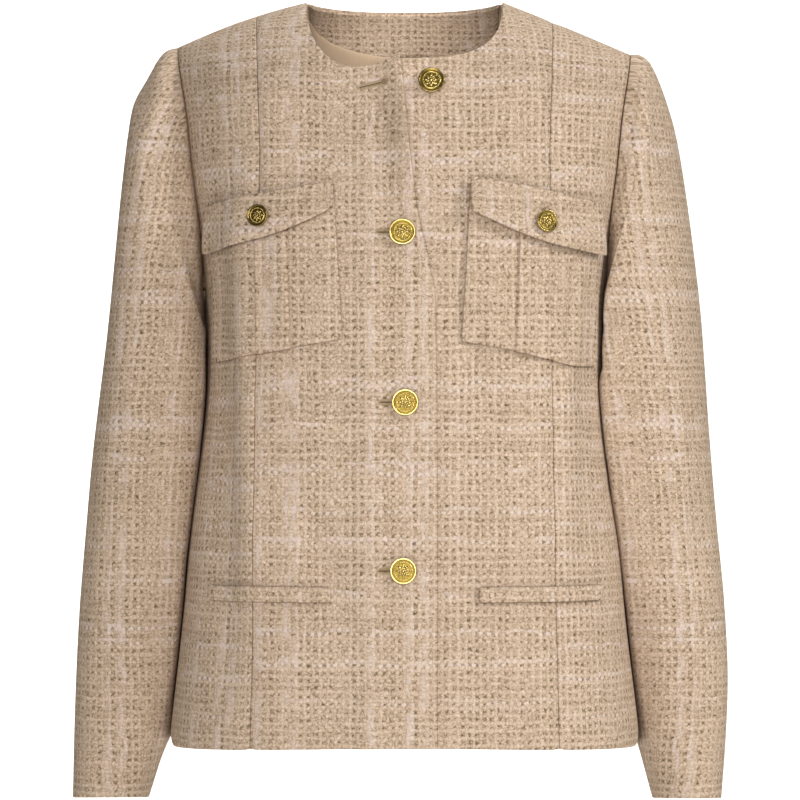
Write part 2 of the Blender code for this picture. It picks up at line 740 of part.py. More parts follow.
def build_button(button, point, normal, shank):
    """A turned button: a shank, a flat back, a rolled rim and a low dome inside it."""
    r = button.radius
    profile = [
        (0.0, 3.6), (0.36 * r, 3.3), (0.70 * r, 2.1), (0.86 * r, 2.9), (r, 1.7),
        (0.86 * r, 0.4), (SHANK_RADIUS, 0.0), (SHANK_RADIUS, -shank), (0.0, -shank),
    ]
    mesh = bpy.data.meshes.new(button.name)
    edges = [(i, i + 1) for i in range(len(profile) - 1)]
    mesh.from_pydata([(x * MM, 0, z * MM) for x, z in profile], edges, [])
    piece = new_object(button.name, mesh, "brass")
    screw = piece.modifiers.new("Turn", "SCREW")
    screw.steps = screw.render_steps = 16
    screw.use_merge_vertices = True
    screw.merge_threshold = 0.00001
    screw.use_smooth_shade = True
    piece.matrix_world = frame_at(point, normal)
    return piece


def build_buttons():
    for button in FRONT_BUTTONS:
        raised = lap_out(button.x, button.z)
        turn = turn_at(button.x, button.z)
        normal = body_normal(turn, button.z)
        seat = body_point(turn, button.z, raised + 1.2)
        build_button(button, seat, normal, raised + 1.2 - GAP)
    turn = turn_at(TOP_BUTTON.x, TOP_BUTTON.z)
    seat = body_point(turn, TOP_BUTTON.z, 3.6)
    build_button(TOP_BUTTON, seat, body_normal(turn, TOP_BUTTON.z), 3.6 - GAP)
    base = POCKET_GAP + POCKET_WALL + PLEAT_HEIGHT + GAP + FLAP_WALL
    for button in FLAP_BUTTONS.values():
        turn = turn_at(button.x, button.z)
        seat = body_point(turn, button.z, base + FLAP_STAND + 1.6)
        build_button(button, seat, body_normal(turn, button.z), 1.0)


def keyhole_cutter(name, x, z, slant):
    """A round eye with a slit that runs off to the wearer's right, as one cutter."""
    half = HOLE_WIDTH / 2
    start = math.asin(half / EYELET_RADIUS)
    outline = []
    for i in range(15):
        angle = math.pi + start + (2 * math.pi - 2 * start) * i / 14
        outline.append((EYELET_RADIUS * math.cos(angle), EYELET_RADIUS * math.sin(angle)))
    outline += [(-HOLE_LENGTH, half), (-HOLE_LENGTH, -half)]
    tilt = math.radians(slant)
    shape = bmesh.new()
    corners = []
    for px, py in outline:
        corners.append(shape.verts.new((
            (px * math.cos(tilt) - py * math.sin(tilt)) * MM,
            (px * math.sin(tilt) + py * math.cos(tilt)) * MM,
            -12 * MM,
        )))
    base = shape.faces.new(corners)
    raised = bmesh.ops.extrude_face_region(shape, geom=[base])["geom"]
    for item in raised:
        if isinstance(item, bmesh.types.BMVert):
            item.co.z += 30 * MM
    bmesh.ops.recalc_face_normals(shape, faces=shape.faces)
    mesh = bpy.data.meshes.new(name)
    shape.to_mesh(mesh)
    shape.free()
    cutter = bpy.data.objects.new(name, mesh)
    CUTTERS.objects.link(cutter)
    cutter.hide_render = True
    cutter.display_type = "WIRE"
    turn = turn_at(x, z)
    point = body_point(turn, z, lap_out(x, z))
    ahead = body_point(turn_at(x + 4, z), z, lap_out(x + 4, z))
    behind = body_point(turn_at(x - 4, z), z, lap_out(x - 4, z))
    normal = (ahead - behind).cross(Vector((0, 0, 1))).normalized()
    cutter.matrix_world = frame_at(point, normal)
    return cutter


def cut_buttonholes():
    front = bpy.data.objects["front_right"]
    places = [(button.name, button.x, button.z, 0.0) for button in FRONT_BUTTONS]
    places.append(("top", TOP_HOLE[0], TOP_HOLE[1], -TOP_HOLE_SLANT))
    for name, x, z, slant in places:
        cut = front.modifiers.new(f"Buttonhole {name}", "BOOLEAN")
        cut.operation = "DIFFERENCE"
        cut.object = keyhole_cutter(f"hole_{name}", x, z, slant)


# ---------------------------------------------------------------- facing and lining
def build_facing_and_lining():
    """Inside the back: a tweed band below the neck edge, and the lining below that."""
    places = back_places()
    band = len(places) - FACING_ROWS
    centre = len(places[0]) // 2
    neck = slice(centre - NECK_COLUMNS + 1, centre + NECK_COLUMNS)
    off = WALL + GAP
    outer, inner = layers([row[neck] for row in places[band:]], -off, -off - FACING_WALL)
    cloth_wall("neck_facing", outer, inner, flip=True)
    off = WALL + LINING_GAP
    rows = places[3:band - 2:2] + places[band - 2:band + 1]
    outer, inner = layers(rows, -off, -off - LINING_WALL, left=4.0, right=4.0)
    cloth_wall("back_lining", outer, inner, "satin", flip=True)


# ---------------------------------------------------------------- scene
def clear_scene():
    for item in list(bpy.data.objects):
        bpy.data.objects.remove(item, do_unlink=True)


def new_collection(name):
    collection = bpy.data.collections.new(name)
    bpy.context.scene.collection.children.link(collection)
    return collection


def new_material(name, colour, roughness, metallic):
    material = bpy.data.materials.new(name)
    material.use_nodes = True
    shader = material.node_tree.nodes["Principled BSDF"]
    shader.inputs["Base Color"].default_value = (*colour, 1.0)
    shader.inputs["Roughness"].default_value = roughness
    shader.inputs["Metallic"].default_value = metallic
    return material


clear_scene()
JACKET = new_collection("cropped_tweed_jacket")
CUTTERS = new_collection("cutters")
MATERIALS = {
    "tweed": new_material("tweed", COLOURS["tweed"], 0.9, 0.0),
    "satin": new_material("satin", COLOURS["satin"], 0.45, 0.0),
    "brass": new_material("brass", COLOURS["brass"], 0.35, 1.0),
}
build_body()
build_sleeves()
build_pockets()
build_buttons()
cut_buttonholes()
build_facing_and_lining()
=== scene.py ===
# %% [markdown]
# # A cropped tweed jacket
# A collarless women's jacket in boucle tweed, filled out as if worn.  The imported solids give
# the sizes and places of every piece.  This lesson makes the cloth, the pockets and the
# brass buttons that show in their place, one kind of piece at a time.

# %% Load the frame
import math
from collections import namedtuple

import bpy
import numpy as np
from mathutils import Matrix, Vector


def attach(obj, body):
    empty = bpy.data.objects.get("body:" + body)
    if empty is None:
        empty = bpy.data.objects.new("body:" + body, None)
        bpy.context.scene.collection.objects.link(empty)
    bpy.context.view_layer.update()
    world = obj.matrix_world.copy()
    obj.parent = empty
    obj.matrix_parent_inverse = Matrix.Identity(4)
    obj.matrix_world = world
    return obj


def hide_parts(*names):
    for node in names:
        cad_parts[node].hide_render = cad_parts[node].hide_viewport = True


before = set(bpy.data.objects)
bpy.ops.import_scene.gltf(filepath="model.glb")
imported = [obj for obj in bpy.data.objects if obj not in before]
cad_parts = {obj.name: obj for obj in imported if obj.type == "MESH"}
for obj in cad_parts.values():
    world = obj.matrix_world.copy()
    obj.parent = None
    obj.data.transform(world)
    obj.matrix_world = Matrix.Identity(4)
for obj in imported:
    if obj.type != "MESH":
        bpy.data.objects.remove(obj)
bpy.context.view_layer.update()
MM = 0.001                      # sizes below are in millimetres, and meshes are in metres
bpy.ops.object.select_all(action="DESELECT")
print("solids", sorted(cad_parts))

# %% [markdown]
# ## Camera, floor and light
# The view is level with the middle of the jacket and far away, as for a shop's catalogue, so
# a long lens of 180 mm keeps both sides straight.  The floor and the wall behind are one
# sweep of pale paper: a plane whose back edge is drawn up, with the fold rounded off.  A soft
# key light far to one side brings out the folds, a broad light beside the camera fills the
# front, and a weak one from above lifts the shoulders.  A narrow beam reaches into the neck,
# and one more light belongs to the paper alone.

# %% Camera
EYE = Vector((-3.6, -3200, -276))
camera_data = bpy.data.cameras.new("camera")
camera_data.lens = 180.0
camera_data.sensor_fit = "HORIZONTAL"
camera_data.sensor_width = 36.0
camera_data.clip_end = 30.0
camera = bpy.data.objects.new("camera", camera_data)
bpy.context.scene.collection.objects.link(camera)
camera.location = EYE * MM
camera.rotation_euler = (math.radians(90), 0, 0)
bpy.context.scene.camera = camera
print("camera", round(camera.location.y, 2), "m in front")


# %% Colours and nodes
def srgb(code):
    """A linear colour from an sRGB hex code."""
    channels = [int(code[i:i + 2], 16) / 255 for i in (0, 2, 4)]
    linear = [c / 12.92 if c <= 0.04045 else ((c + 0.055) / 1.055) ** 2.4 for c in channels]
    return (*linear, 1.0)


def add(material, kind, inputs=None, **settings):
    """Add a node to a material.  Settings are the node's own.  Inputs go to its sockets by
    name or number: a value, a socket to link, or a node, which means its first output."""
    node = material.node_tree.nodes.new(kind)
    for key, value in settings.items():
        setattr(node, key, value)
    for key, value in (inputs or {}).items():
        value = value.outputs[0] if isinstance(value, bpy.types.Node) else value
        if isinstance(value, bpy.types.NodeSocket):
            material.node_tree.links.new(value, node.inputs[key])
        else:
            node.inputs[key].default_value = value
    return node


def new_material(name, **values):
    """A material and its shader, with the values that are the same all over it."""
    material = bpy.data.materials.new(name)
    material.use_nodes = True
    shader = material.node_tree.nodes["Principled BSDF"]
    for key, value in values.items():
        shader.inputs[key.replace("_", " ")].default_value = value
    return material, shader


def feed(shader, **sockets):
    """Link sockets to a shader's inputs of those names."""
    for key, socket in sockets.items():
        shader.id_data.links.new(socket, shader.inputs[key.replace("_", " ")])


def two_tone(material, shader, spread, colour, other):
    """Colour a material between two sRGB colours, as a pattern spreads them."""
    blend = add(material, "ShaderNodeMix", {0: spread, 6: srgb(colour), 7: srgb(other)},
                data_type="RGBA")
    feed(shader, Base_Color=blend.outputs[2])


print("white", srgb("FFFFFF")[:3])


# %% Paper sweep
FLOOR = -880.0
SWEEP_DEPTH = 9.0               # metres, as are the next two
SWEEP_HEIGHT = 2.6
SWEEP_ROUND = 1.6
SWEEP_NARROW = 0.32             # its width as a share of its depth
# Matt paper: an even, pale ground with no shine of its own.
paper, paper_shader = new_material("matt_paper", Base_Color=srgb("F4F2EF"), Roughness=0.9)
fibre = add(paper, "ShaderNodeTexNoise", {"Scale": 180.0, "Detail": 4.0})
paper_bump = add(paper, "ShaderNodeBump", {"Strength": 0.05, "Distance": 0.0004, "Height": fibre})
feed(paper_shader, Normal=paper_bump.outputs[0])

bpy.ops.mesh.primitive_plane_add(size=SWEEP_DEPTH, location=(0, 0, FLOOR * MM))
floor = bpy.context.object
floor.name = "paper_sweep"
floor.scale.x = SWEEP_NARROW
bpy.ops.object.transform_apply(location=True, rotation=True, scale=True)
bpy.ops.object.mode_set(mode="EDIT")
bpy.ops.mesh.select_mode(type="EDGE")
bpy.ops.mesh.select_all(action="DESELECT")
bpy.ops.object.mode_set(mode="OBJECT")
for edge in floor.data.edges:
    edge.select = all(floor.data.vertices[v].co.y > 0 for v in edge.vertices)
bpy.ops.object.mode_set(mode="EDIT")
bpy.ops.mesh.extrude_region_move(TRANSFORM_OT_translate={"value": (0, 0, SWEEP_HEIGHT)})
bpy.ops.object.mode_set(mode="OBJECT")
rounding = floor.modifiers.new("Rounding", "BEVEL")
rounding.width = SWEEP_ROUND
rounding.segments = 16
bpy.ops.object.modifier_apply(modifier=rounding.name)
bpy.ops.object.shade_smooth()
floor.data.materials.append(paper)
print("paper sweep", len(floor.data.polygons), "faces")


# %% Light
MIDDLE = (0, 0, -0.28)          # of the jacket, in metres


def light(name, kind, place, aim, power, **settings):
    """A light at a place, turned towards another one."""
    data = bpy.data.lights.new(name, kind)
    data.energy = power
    for key, value in settings.items():
        setattr(data, key, value)
    lamp = bpy.data.objects.new(name, data)
    bpy.context.scene.collection.objects.link(lamp)
    lamp.location = place
    lamp.rotation_euler = (Vector(aim) - lamp.location).to_track_quat("-Z", "Y").to_euler()


light("key", "AREA", (2.35, -1.30, 1.15), MIDDLE, 52.0, shape="DISK", size=0.6)
light("front_light", "AREA", (-0.15, -2.88, 0.05), MIDDLE, 61.0, shape="DISK", size=1.4)
light("top_light", "AREA", (0.25, -1.42, 2.23), MIDDLE, 6.0, shape="DISK", size=1.2)
light("neck_light", "SPOT", (-0.02, -3.0, -0.16), (-0.004, 0.07, 0.046), 300.0,
      spot_size=math.radians(2.3), spot_blend=0.7, shadow_soft_size=0.04)
light("paper_light", "AREA", (0.0, 1.6, 2.6), (0, 4.2, -0.4), 230.0, shape="DISK", size=2.4)
bpy.context.scene.view_settings.view_transform = "Standard"     # colours show as mixed
world = bpy.context.scene.world or bpy.data.worlds.new("world")
bpy.context.scene.world = world
world.use_nodes = True
background = world.node_tree.nodes["Background"]
background.inputs["Color"].default_value = srgb("FFFFFF")
background.inputs["Strength"].default_value = 0.05
print("lights", sorted(lamp.name for lamp in bpy.data.lights))

# %% [markdown]
# ## The body form
# A worn jacket keeps the roundness of its cut.  Its body is one closed form, so it is worked
# out from a few levels: half the width, the depth to the front and to the back, and where
# the side seam lies.  Between the levels a smooth curve runs, and round each level the
# section is a squarish ellipse that closes over the shoulder line.  The functions take whole
# arrays of places, which is quick.

# %% Sizes
WALL = 2.2                      # tweed with its backing
GAP = 0.3                       # between pieces that are sewn together
LAP_GAP = 0.7                   # between the two fronts where they overlap
NECK_HALF = 77.0                # half the neck opening, at the shoulder seams
NECK_TOP = 42.0                 # height of the neck edge at the shoulder seams,
FRONT_NECK = -10.0              # at centre front
BACK_NECK = 39.0                # and at centre back
NECK_CORNER = 3.0               # power of the neck curve: 2 is a round one, more is squarer
SHOULDER_SLOPE = {-1: 0.350, 1: 0.405}          # fall for each mm outwards, right and left
SHOULDER_SWELL = {-1: 3.6, 1: 0.2}              # rise of the middle of the shoulder line
SHOULDER_LENGTH = 104.0
SHOULDER_ROUND = {"front": 92.0, "back": 84.0}  # height over which the shoulder rounds off
SECTION_POWER = {"front": 2.9, "back": 2.5}     # power of a level section
CAP_POWER = 2.15                # power of the rounding over the shoulder
HEM_FRONT = -544.0
HEM_SIDE = -551.0
UNDERARM = -195.0
ARMHOLE_STRAIGHT = -98.0        # from the shoulder, the armhole runs straight down to here,
ARMHOLE_REACH = 0.96            # at this share of the half width
print("from the neck point to the hem", NECK_TOP - HEM_SIDE, "mm")

# %% Levels of the body
Level = namedtuple("Level", "z half_width front back side_y")
BODY = [
    Level(46, 190.0, 80.0, 76.0, 0.0),
    Level(0, 187.5, 93.0, 84.0, 0.0),
    Level(-50, 179.0, 105.0, 96.0, 4.0),
    Level(-100, 173.0, 116.0, 102.0, 8.0),
    Level(-150, 164.5, 125.0, 103.0, 11.0),
    Level(-195, 159.5, 129.0, 100.0, 12.0),
    Level(-240, 158.5, 128.0, 97.0, 12.0),
    Level(-280, 160.0, 126.0, 95.0, 12.0),
    Level(-320, 163.5, 124.5, 95.0, 12.0),
    Level(-360, 168.0, 124.0, 97.0, 12.0),
    Level(-400, 172.5, 124.5, 100.0, 12.0),
    Level(-440, 176.0, 125.5, 103.0, 12.0),
    Level(-480, 180.0, 127.0, 106.0, 12.0),
    Level(-520, 184.5, 129.0, 110.0, 12.0),
    Level(-543, 186.5, 130.0, 112.0, 12.0),
    Level(-553, 184.0, 129.0, 110.5, 12.0),
]
print("levels", len(BODY), "from", BODY[0].z, "down to", BODY[-1].z)

# %% Seams and edges
Seam = namedtuple("Seam", "z x")
PRINCESS_TOP = 26.0             # height where the princess seam meets the shoulder seam
PRINCESS = [Seam(46, 119), Seam(-30, 115), Seam(-90, 113), Seam(-300, 115), Seam(-553, 120)]
Edge = namedtuple("Edge", "z right_edge lift left_edge")
EDGES = [
    Edge(10, -4.0, 15.0, -11.0),
    Edge(-10, -3.5, 15.0, -11.5),
    Edge(-31, -1.2, 14.0, -12.5),
    Edge(-83, 4.2, 10.5, -15.0),
    Edge(-132, 10.4, 4.6, -18.5),
    Edge(-165, 18.0, 1.0, -20.5),
    Edge(-200, 24.0, 0.0, -21.0),
    Edge(-553, 25.0, 0.0, -21.0),
]
LIFT_REACH = 22.0               # the free corner lifts over this width beside its edge
LIFT_ROLL = 0.4                 # and rolls: 0 is a straight rise, and 1 ends level
LAP_INNER = -46.0               # from here on the right front rises over the left one,
LAP_FULL = -28.0                # and here it lies on it
Sag = namedtuple("Sag", "x drop")
NECK_SAG = [Sag(-77, 0), Sag(-71, 4.0), Sag(-60, 8.0), Sag(-48, 9.5), Sag(-36, 9.5),
            Sag(-22, 7.0), Sag(5, 5.0)]
print("front edges at the hem", EDGES[-1].right_edge, "over", EDGES[-1].left_edge)


# %% Curves through the tables
def curve(at, values, place):
    """Values at places on a smooth curve through a table's values."""
    at, values = np.asarray(at, float), np.asarray(values, float)
    place = np.clip(np.asarray(place, float), at[0], at[-1])
    slopes = np.empty(len(at))
    slopes[1:-1] = (values[2:] - values[:-2]) / (at[2:] - at[:-2])
    slopes[0] = (values[1] - values[0]) / (at[1] - at[0])
    slopes[-1] = (values[-2] - values[-1]) / (at[-2] - at[-1])
    i = np.clip(np.searchsorted(at, place, side="left") - 1, 0, len(at) - 2)
    span = at[i + 1] - at[i]
    t = (place - at[i]) / span
    level = (2 * t**3 - 3 * t**2 + 1) * values[i] + (3 * t**2 - 2 * t**3) * values[i + 1]
    return level + ((t**3 - 2 * t**2 + t) * slopes[i] + (t**3 - t**2) * slopes[i + 1]) * span


def smooth(rows, column, place, key="z"):
    """Values of one column of a table, at places along its key."""
    rows = sorted(rows, key=lambda row: getattr(row, key))
    at, values = ([getattr(row, name) for row in rows] for name in (key, column))
    return curve(at, values, place)


def ease(t):
    """0 to 1 with level ends."""
    t = np.clip(t, 0.0, 1.0)
    return t * t * (3 - 2 * t)


def mix(a, b, t):
    return a + (b - a) * t


def unit(vectors):
    return vectors / np.maximum(np.linalg.norm(vectors, axis=-1, keepdims=True), 1e-9)


print("waist half width", round(float(smooth(BODY, "half_width", -260)), 1))


# %% Shoulder line
def shoulder_height(x):
    """Height of the shoulder line, with the neck opening bridged by an arch."""
    past = np.abs(x) - NECK_HALF
    mean = sum(SHOULDER_SLOPE.values()) / 2
    arch = NECK_TOP + mean * (NECK_HALF**2 - x * x) / (2 * NECK_HALF)
    slope = np.where(x < 0, SHOULDER_SLOPE[-1], SHOULDER_SLOPE[1])
    swell = np.where(x < 0, SHOULDER_SWELL[-1], SHOULDER_SWELL[1])
    line = NECK_TOP - slope * past + swell * np.sin(np.pi * np.clip(past / SHOULDER_LENGTH, 0, 1))
    return np.where(past < 0, arch, line)


def by_face(front, table):
    return np.where(front, table["front"], table["back"])


print("shoulder points", [round(float(shoulder_height(side * (NECK_HALF + SHOULDER_LENGTH))), 1)
                          for side in (-1, 1)])


# %% Level sections
SHOULDER_NEAR = 100.0           # so far below its line the shoulder turns the cloth


def turn_at(x, z, front=True):
    """Degrees round from centre front (0) to centre back (180) of the place at x."""
    half = smooth(BODY, "half_width", z)
    power = by_face(front, SECTION_POWER)
    share = np.minimum(np.abs(x) / half, 1.0)
    depth = np.maximum(1 - share**power, 0.0) ** (1 / power)
    turn = np.degrees(np.arctan2(share, depth))
    turn = np.where(front, turn, 180 - turn)
    return np.where(np.asarray(x) < 0, -turn, turn)


def below_ridge(turn, z):
    """Points of the form, the height of the shoulder line there, and which lie in front."""
    half, ahead, behind, side_y = (smooth(BODY, column, z) for column in Level._fields[1:])
    front = np.abs(turn) <= 90
    power = by_face(front, SECTION_POWER)
    s, c = np.sin(np.radians(turn)), np.cos(np.radians(turn))
    reach = (np.abs(s) ** power + np.abs(c) ** power) ** (-1 / power)
    x = half * reach * s
    ridge = shoulder_height(x)
    down = np.clip((ridge - z) / by_face(front, SHOULDER_ROUND), 0.0, 1.0)
    cap = np.maximum(1 - (1 - down) ** CAP_POWER, 0.0) ** (1 / CAP_POWER)
    depth = np.where(front, ahead + side_y, behind - side_y)
    return np.stack([x, side_y * cap - depth * reach * c * cap, z + 0 * x], axis=-1), ridge, front


def bare_point(turn, z):
    """Points of the bare form.  Past the shoulder line they carry on down the other side."""
    turn, z = np.broadcast_arrays(np.asarray(turn, float), np.asarray(z, float))
    point, ridge, front = below_ridge(turn, z)
    over = z > ridge
    if over.any():
        low = np.where(over, 2 * ridge - z, z)
        other = turn_at(point[..., 0], low, ~front)
        point = np.where(over[..., None], below_ridge(np.where(over, other, turn), low)[0], point)
    return point


def body_normal(turn, z):
    """Directions out of the form.  Near the shoulder line the places compared follow it."""
    here = shoulder_height(bare_point(turn, z)[..., 0])
    near = ease(1 - (here - z) / SHOULDER_NEAR)

    def beside(step):
        shift = shoulder_height(bare_point(turn + step, z)[..., 0]) - here
        return bare_point(turn + step, z + shift * near)

    across = beside(1.5) - beside(-1.5)
    up = bare_point(turn, z + 2.5) - bare_point(turn, z - 2.5)
    return unit(np.cross(across, up))


print("chest half width", round(float(bare_point(90.0, UNDERARM)[0]), 1))

# %% [markdown]
# ## Folds
# Cloth that is filled out still breaks here and there.  The big folds are in the solids, and
# are repeated here first.  The small ones are listed one by one, each as a line from one place
# to another with its own width and height: a ridge is above nought and a trough below.  They
# fade at their ends and bow a little, so that no two look alike.

# %% Folds of the body
Fold = namedtuple("Fold", "x_top z_top x_bottom z_bottom half_width height")
FOLDS = [
    Fold(-125, -120, -119, -430, 11, 4.2),
    Fold(-146, -130, -140, -470, 13, -4.6),
    Fold(-74, -360, -52, -430, 13, -2.6),
    Fold(40, -196, 74, -305, 14, -3.0),
    Fold(128, -240, 124, -400, 12, 2.2),
    Fold(143, -240, 141, -400, 11, -2.6),
]
MM_PER_DEGREE = 2.6             # round the body, roughly
print("big folds", len(FOLDS))

# %% Creases of the body
# Small folds.  Each runs from (across_a, up_a) to (across_b, up_b): here in degrees round the
# body and heights.  Its half width, height and bow are in mm.
Crease = namedtuple("Crease", "across_a up_a across_b up_b half_width height bow")
FRONT_CREASES = [Crease(*row) for row in (
    (-52, -60, -34, -98, 7, -0.9, 5), (-50, -90, -30, -112, 6, 0.7, 4),
    (53, -52, 36, -96, 7, -0.9, -5), (50, -84, 30, -110, 6, 0.8, -4),
    (-12, -62, -20, -104, 8, 0.7, 3), (14, -66, 24, -116, 8, -0.8, 4),
    (-2, -176, -11, -230, 7, -0.8, 3), (9, -160, 15, -212, 7, -0.9, -3),
    (12, -302, 25, -352, 8, -0.8, 5), (-8, -300, -22, -340, 8, -0.8, -5),
    (-24, -262, -36, -282, 6, -0.8, 3), (-36, -252, -48, -296, 6, 0.8, 4),
    (38, -256, 52, -286, 6, -1.0, 4), (44, -262, 58, -316, 7, 0.8, -4),
    (30, -318, 44, -352, 8, -0.8, 4), (-58, -210, -48, -262, 7, -1.0, 4),
    (-66, -214, -58, -300, 8, 0.9, 5), (60, -208, 50, -258, 7, -1.0, -4),
    (46, -166, 44, -238, 4, -2.0, 3), (49.5, -170, 49, -244, 4, 1.6, -2),
    (42.5, -172, 42, -240, 3, 1.0, 2), (52.5, -176, 53, -236, 3, -1.2, 2),
    (68, -214, 60, -300, 8, 0.9, -5), (-66, -330, -50, -392, 9, -1.0, 6),
    (66, -340, 52, -400, 9, -1.0, -6), (-26, -444, -30, -520, 10, 0.8, 4),
    (-14, -446, -12, -530, 9, -0.7, 3), (24, -446, 29, -524, 10, 0.8, -4),
    (40, -440, 42, -530, 9, -0.8, 3), (-44, -446, -46, -528, 9, -0.8, 3),
    (5, -420, 7, -500, 8, -0.6, 4),
)]
BACK_CREASES = [Crease(*row) for row in (
    (-128, -46, -146, -112, 9, -1.4, 6), (128, -52, 147, -118, 9, -1.3, -6),
    (-112, -150, -132, -236, 10, 1.5, 8), (113, -158, 134, -242, 10, 1.4, -8),
    (-118, -176, -136, -272, 8, -1.3, 7), (118, -170, 138, -262, 9, -1.4, -7),
    (-170, 18, -150, -8, 8, -1.0, 4), (168, 16, 148, -12, 8, -1.0, -4),
    (-176, -250, -138, -284, 11, -1.5, 8), (172, -262, 136, -300, 11, -1.5, 8),
    (-168, -290, -128, -330, 12, 1.2, 9), (176, -306, 130, -342, 12, 1.2, 9),
    (-158, -356, -150, -520, 14, 1.4, 8), (-140, -370, -132, -528, 14, -1.4, 8),
    (154, -362, 148, -524, 14, 1.4, -8), (138, -380, 130, -520, 13, -1.3, -8),
    (178, -380, 174, -500, 15, -1.0, 5),
)]


# %% Heights of folds
FADE = 0.4                      # a crease fades over this share of its length,
FADE_START = 0.12               # from a little before its ends


def creased(creases, across, up, across_mm, up_mm=1.0):
    """Height of many soft folds, at places given as the table gives them.  One of its units is
    so many mm across and up."""
    total = np.zeros(np.shape(across))
    for crease in creases:
        run = np.array([(crease.across_b - crease.across_a) * across_mm,
                        (crease.up_b - crease.up_a) * up_mm])
        length = np.hypot(*run)
        run = run / length
        off_a, off_b = (across - crease.across_a) * across_mm, (up - crease.up_a) * up_mm
        along = (off_a * run[0] + off_b * run[1]) / length
        aside = off_b * run[0] - off_a * run[1] - crease.bow * 4 * along * (1 - along)
        ends = ease((along + FADE_START) / FADE) * ease((1 + FADE_START - along) / FADE)
        total = total + crease.height * ends * np.exp(-((aside / crease.half_width) ** 2))
    return total


def fold_height(x, z):
    """Height of the big folds of the front."""
    total = 0.0
    for fold in FOLDS:
        along = (fold.z_top - z) / (fold.z_top - fold.z_bottom)
        centre = mix(fold.x_top, fold.x_bottom, np.clip(along, 0.0, 1.0))
        ends = ease(np.minimum(along, 1 - along) * 3 + 0.5)
        total = total + fold.height * ends * np.exp(-(((x - centre) / fold.half_width) ** 2))
    return total


def uneven(a, b, seed):
    """A slow, uneven swell of about half a millimetre, from a few crossed waves."""
    waves = [(0.031, 0.012, 0.9), (-0.014, 0.027, 2.1), (0.047, -0.036, 4.0), (0.020, 0.052, 5.2)]
    return sum(0.13 * np.sin(a * p + b * q + r * seed) for p, q, r in waves)


def body_point(turn, z, out=0.0, fine=1.0):
    """Points of the folded form, moved out by so many mm.  fine says how much of the small
    creases they keep."""
    point = bare_point(turn, z)
    folds = np.where(point[..., 1] < 0, fold_height(point[..., 0], z), 0.0)
    small = creased(FRONT_CREASES + BACK_CREASES, turn, z, MM_PER_DEGREE)
    folds = folds + fine * (small + uneven(turn * MM_PER_DEGREE, z, 1.0))
    return point + body_normal(turn, z) * (folds + out)[..., None]


print("creases", len(FRONT_CREASES), "in front and", len(BACK_CREASES), "behind")

# %% [markdown]
# ## Cloth
# Every panel is a wall of cloth between two grids of points.  Where the real cloth is turned
# under at a seam or an edge it has no sharp corner, so the rim of each wall is a half round
# of a few faces.  The UV map is laid out in real metres along the threads, so that the weave
# keeps one size on every panel, runs up and down it, and bends with it.

# %% Walls of cloth
PIECES = {}
RIM_STEPS = (0.22, 0.5, 0.78)   # shares of the way round the half-round rim
RIM_FULLNESS = 0.9              # how far it stands out: 1 is a true half circle


def pull_in(grid, left, right, bottom, top):
    """Draw a grid's edges in along its own surface."""
    grid = grid.copy()
    grid[:, 0] += unit(grid[:, 1] - grid[:, 0]) * left
    grid[:, -1] += unit(grid[:, -2] - grid[:, -1]) * right
    grid[0] += unit(grid[1] - grid[0]) * bottom
    grid[-1] += unit(grid[-2] - grid[-1]) * top
    return grid


def rim_loop(rows, columns):
    """Rows and columns of the rim's places, once round it."""
    loop = [(0, c) for c in range(columns)] + [(r, columns - 1) for r in range(1, rows)]
    loop += [(rows - 1, c) for c in range(columns - 2, -1, -1)]
    return loop + [(r, 0) for r in range(rows - 2, 0, -1)]


def rim_rings(outer, inner, loop):
    """Rings of points for the half round between the edges of two grids."""
    rows, columns = outer.shape[:2]
    rings = []
    for share in RIM_STEPS:
        angle = math.pi * share
        ring = []
        for r, c in loop:
            o, i = outer[r, c], inner[r, c]
            next_in = min(max(r, 1), rows - 2), min(max(c, 1), columns - 2)
            away = (o + i) / 2 - (outer[next_in] + inner[next_in]) / 2
            away /= max(np.linalg.norm(away), 1e-9)
            bulge = away * np.linalg.norm(o - i) / 2 * RIM_FULLNESS * math.sin(angle)
            ring.append((o + i) / 2 + (o - i) / 2 * math.cos(angle) + bulge)
        rings.append(np.array(ring))
    return rings


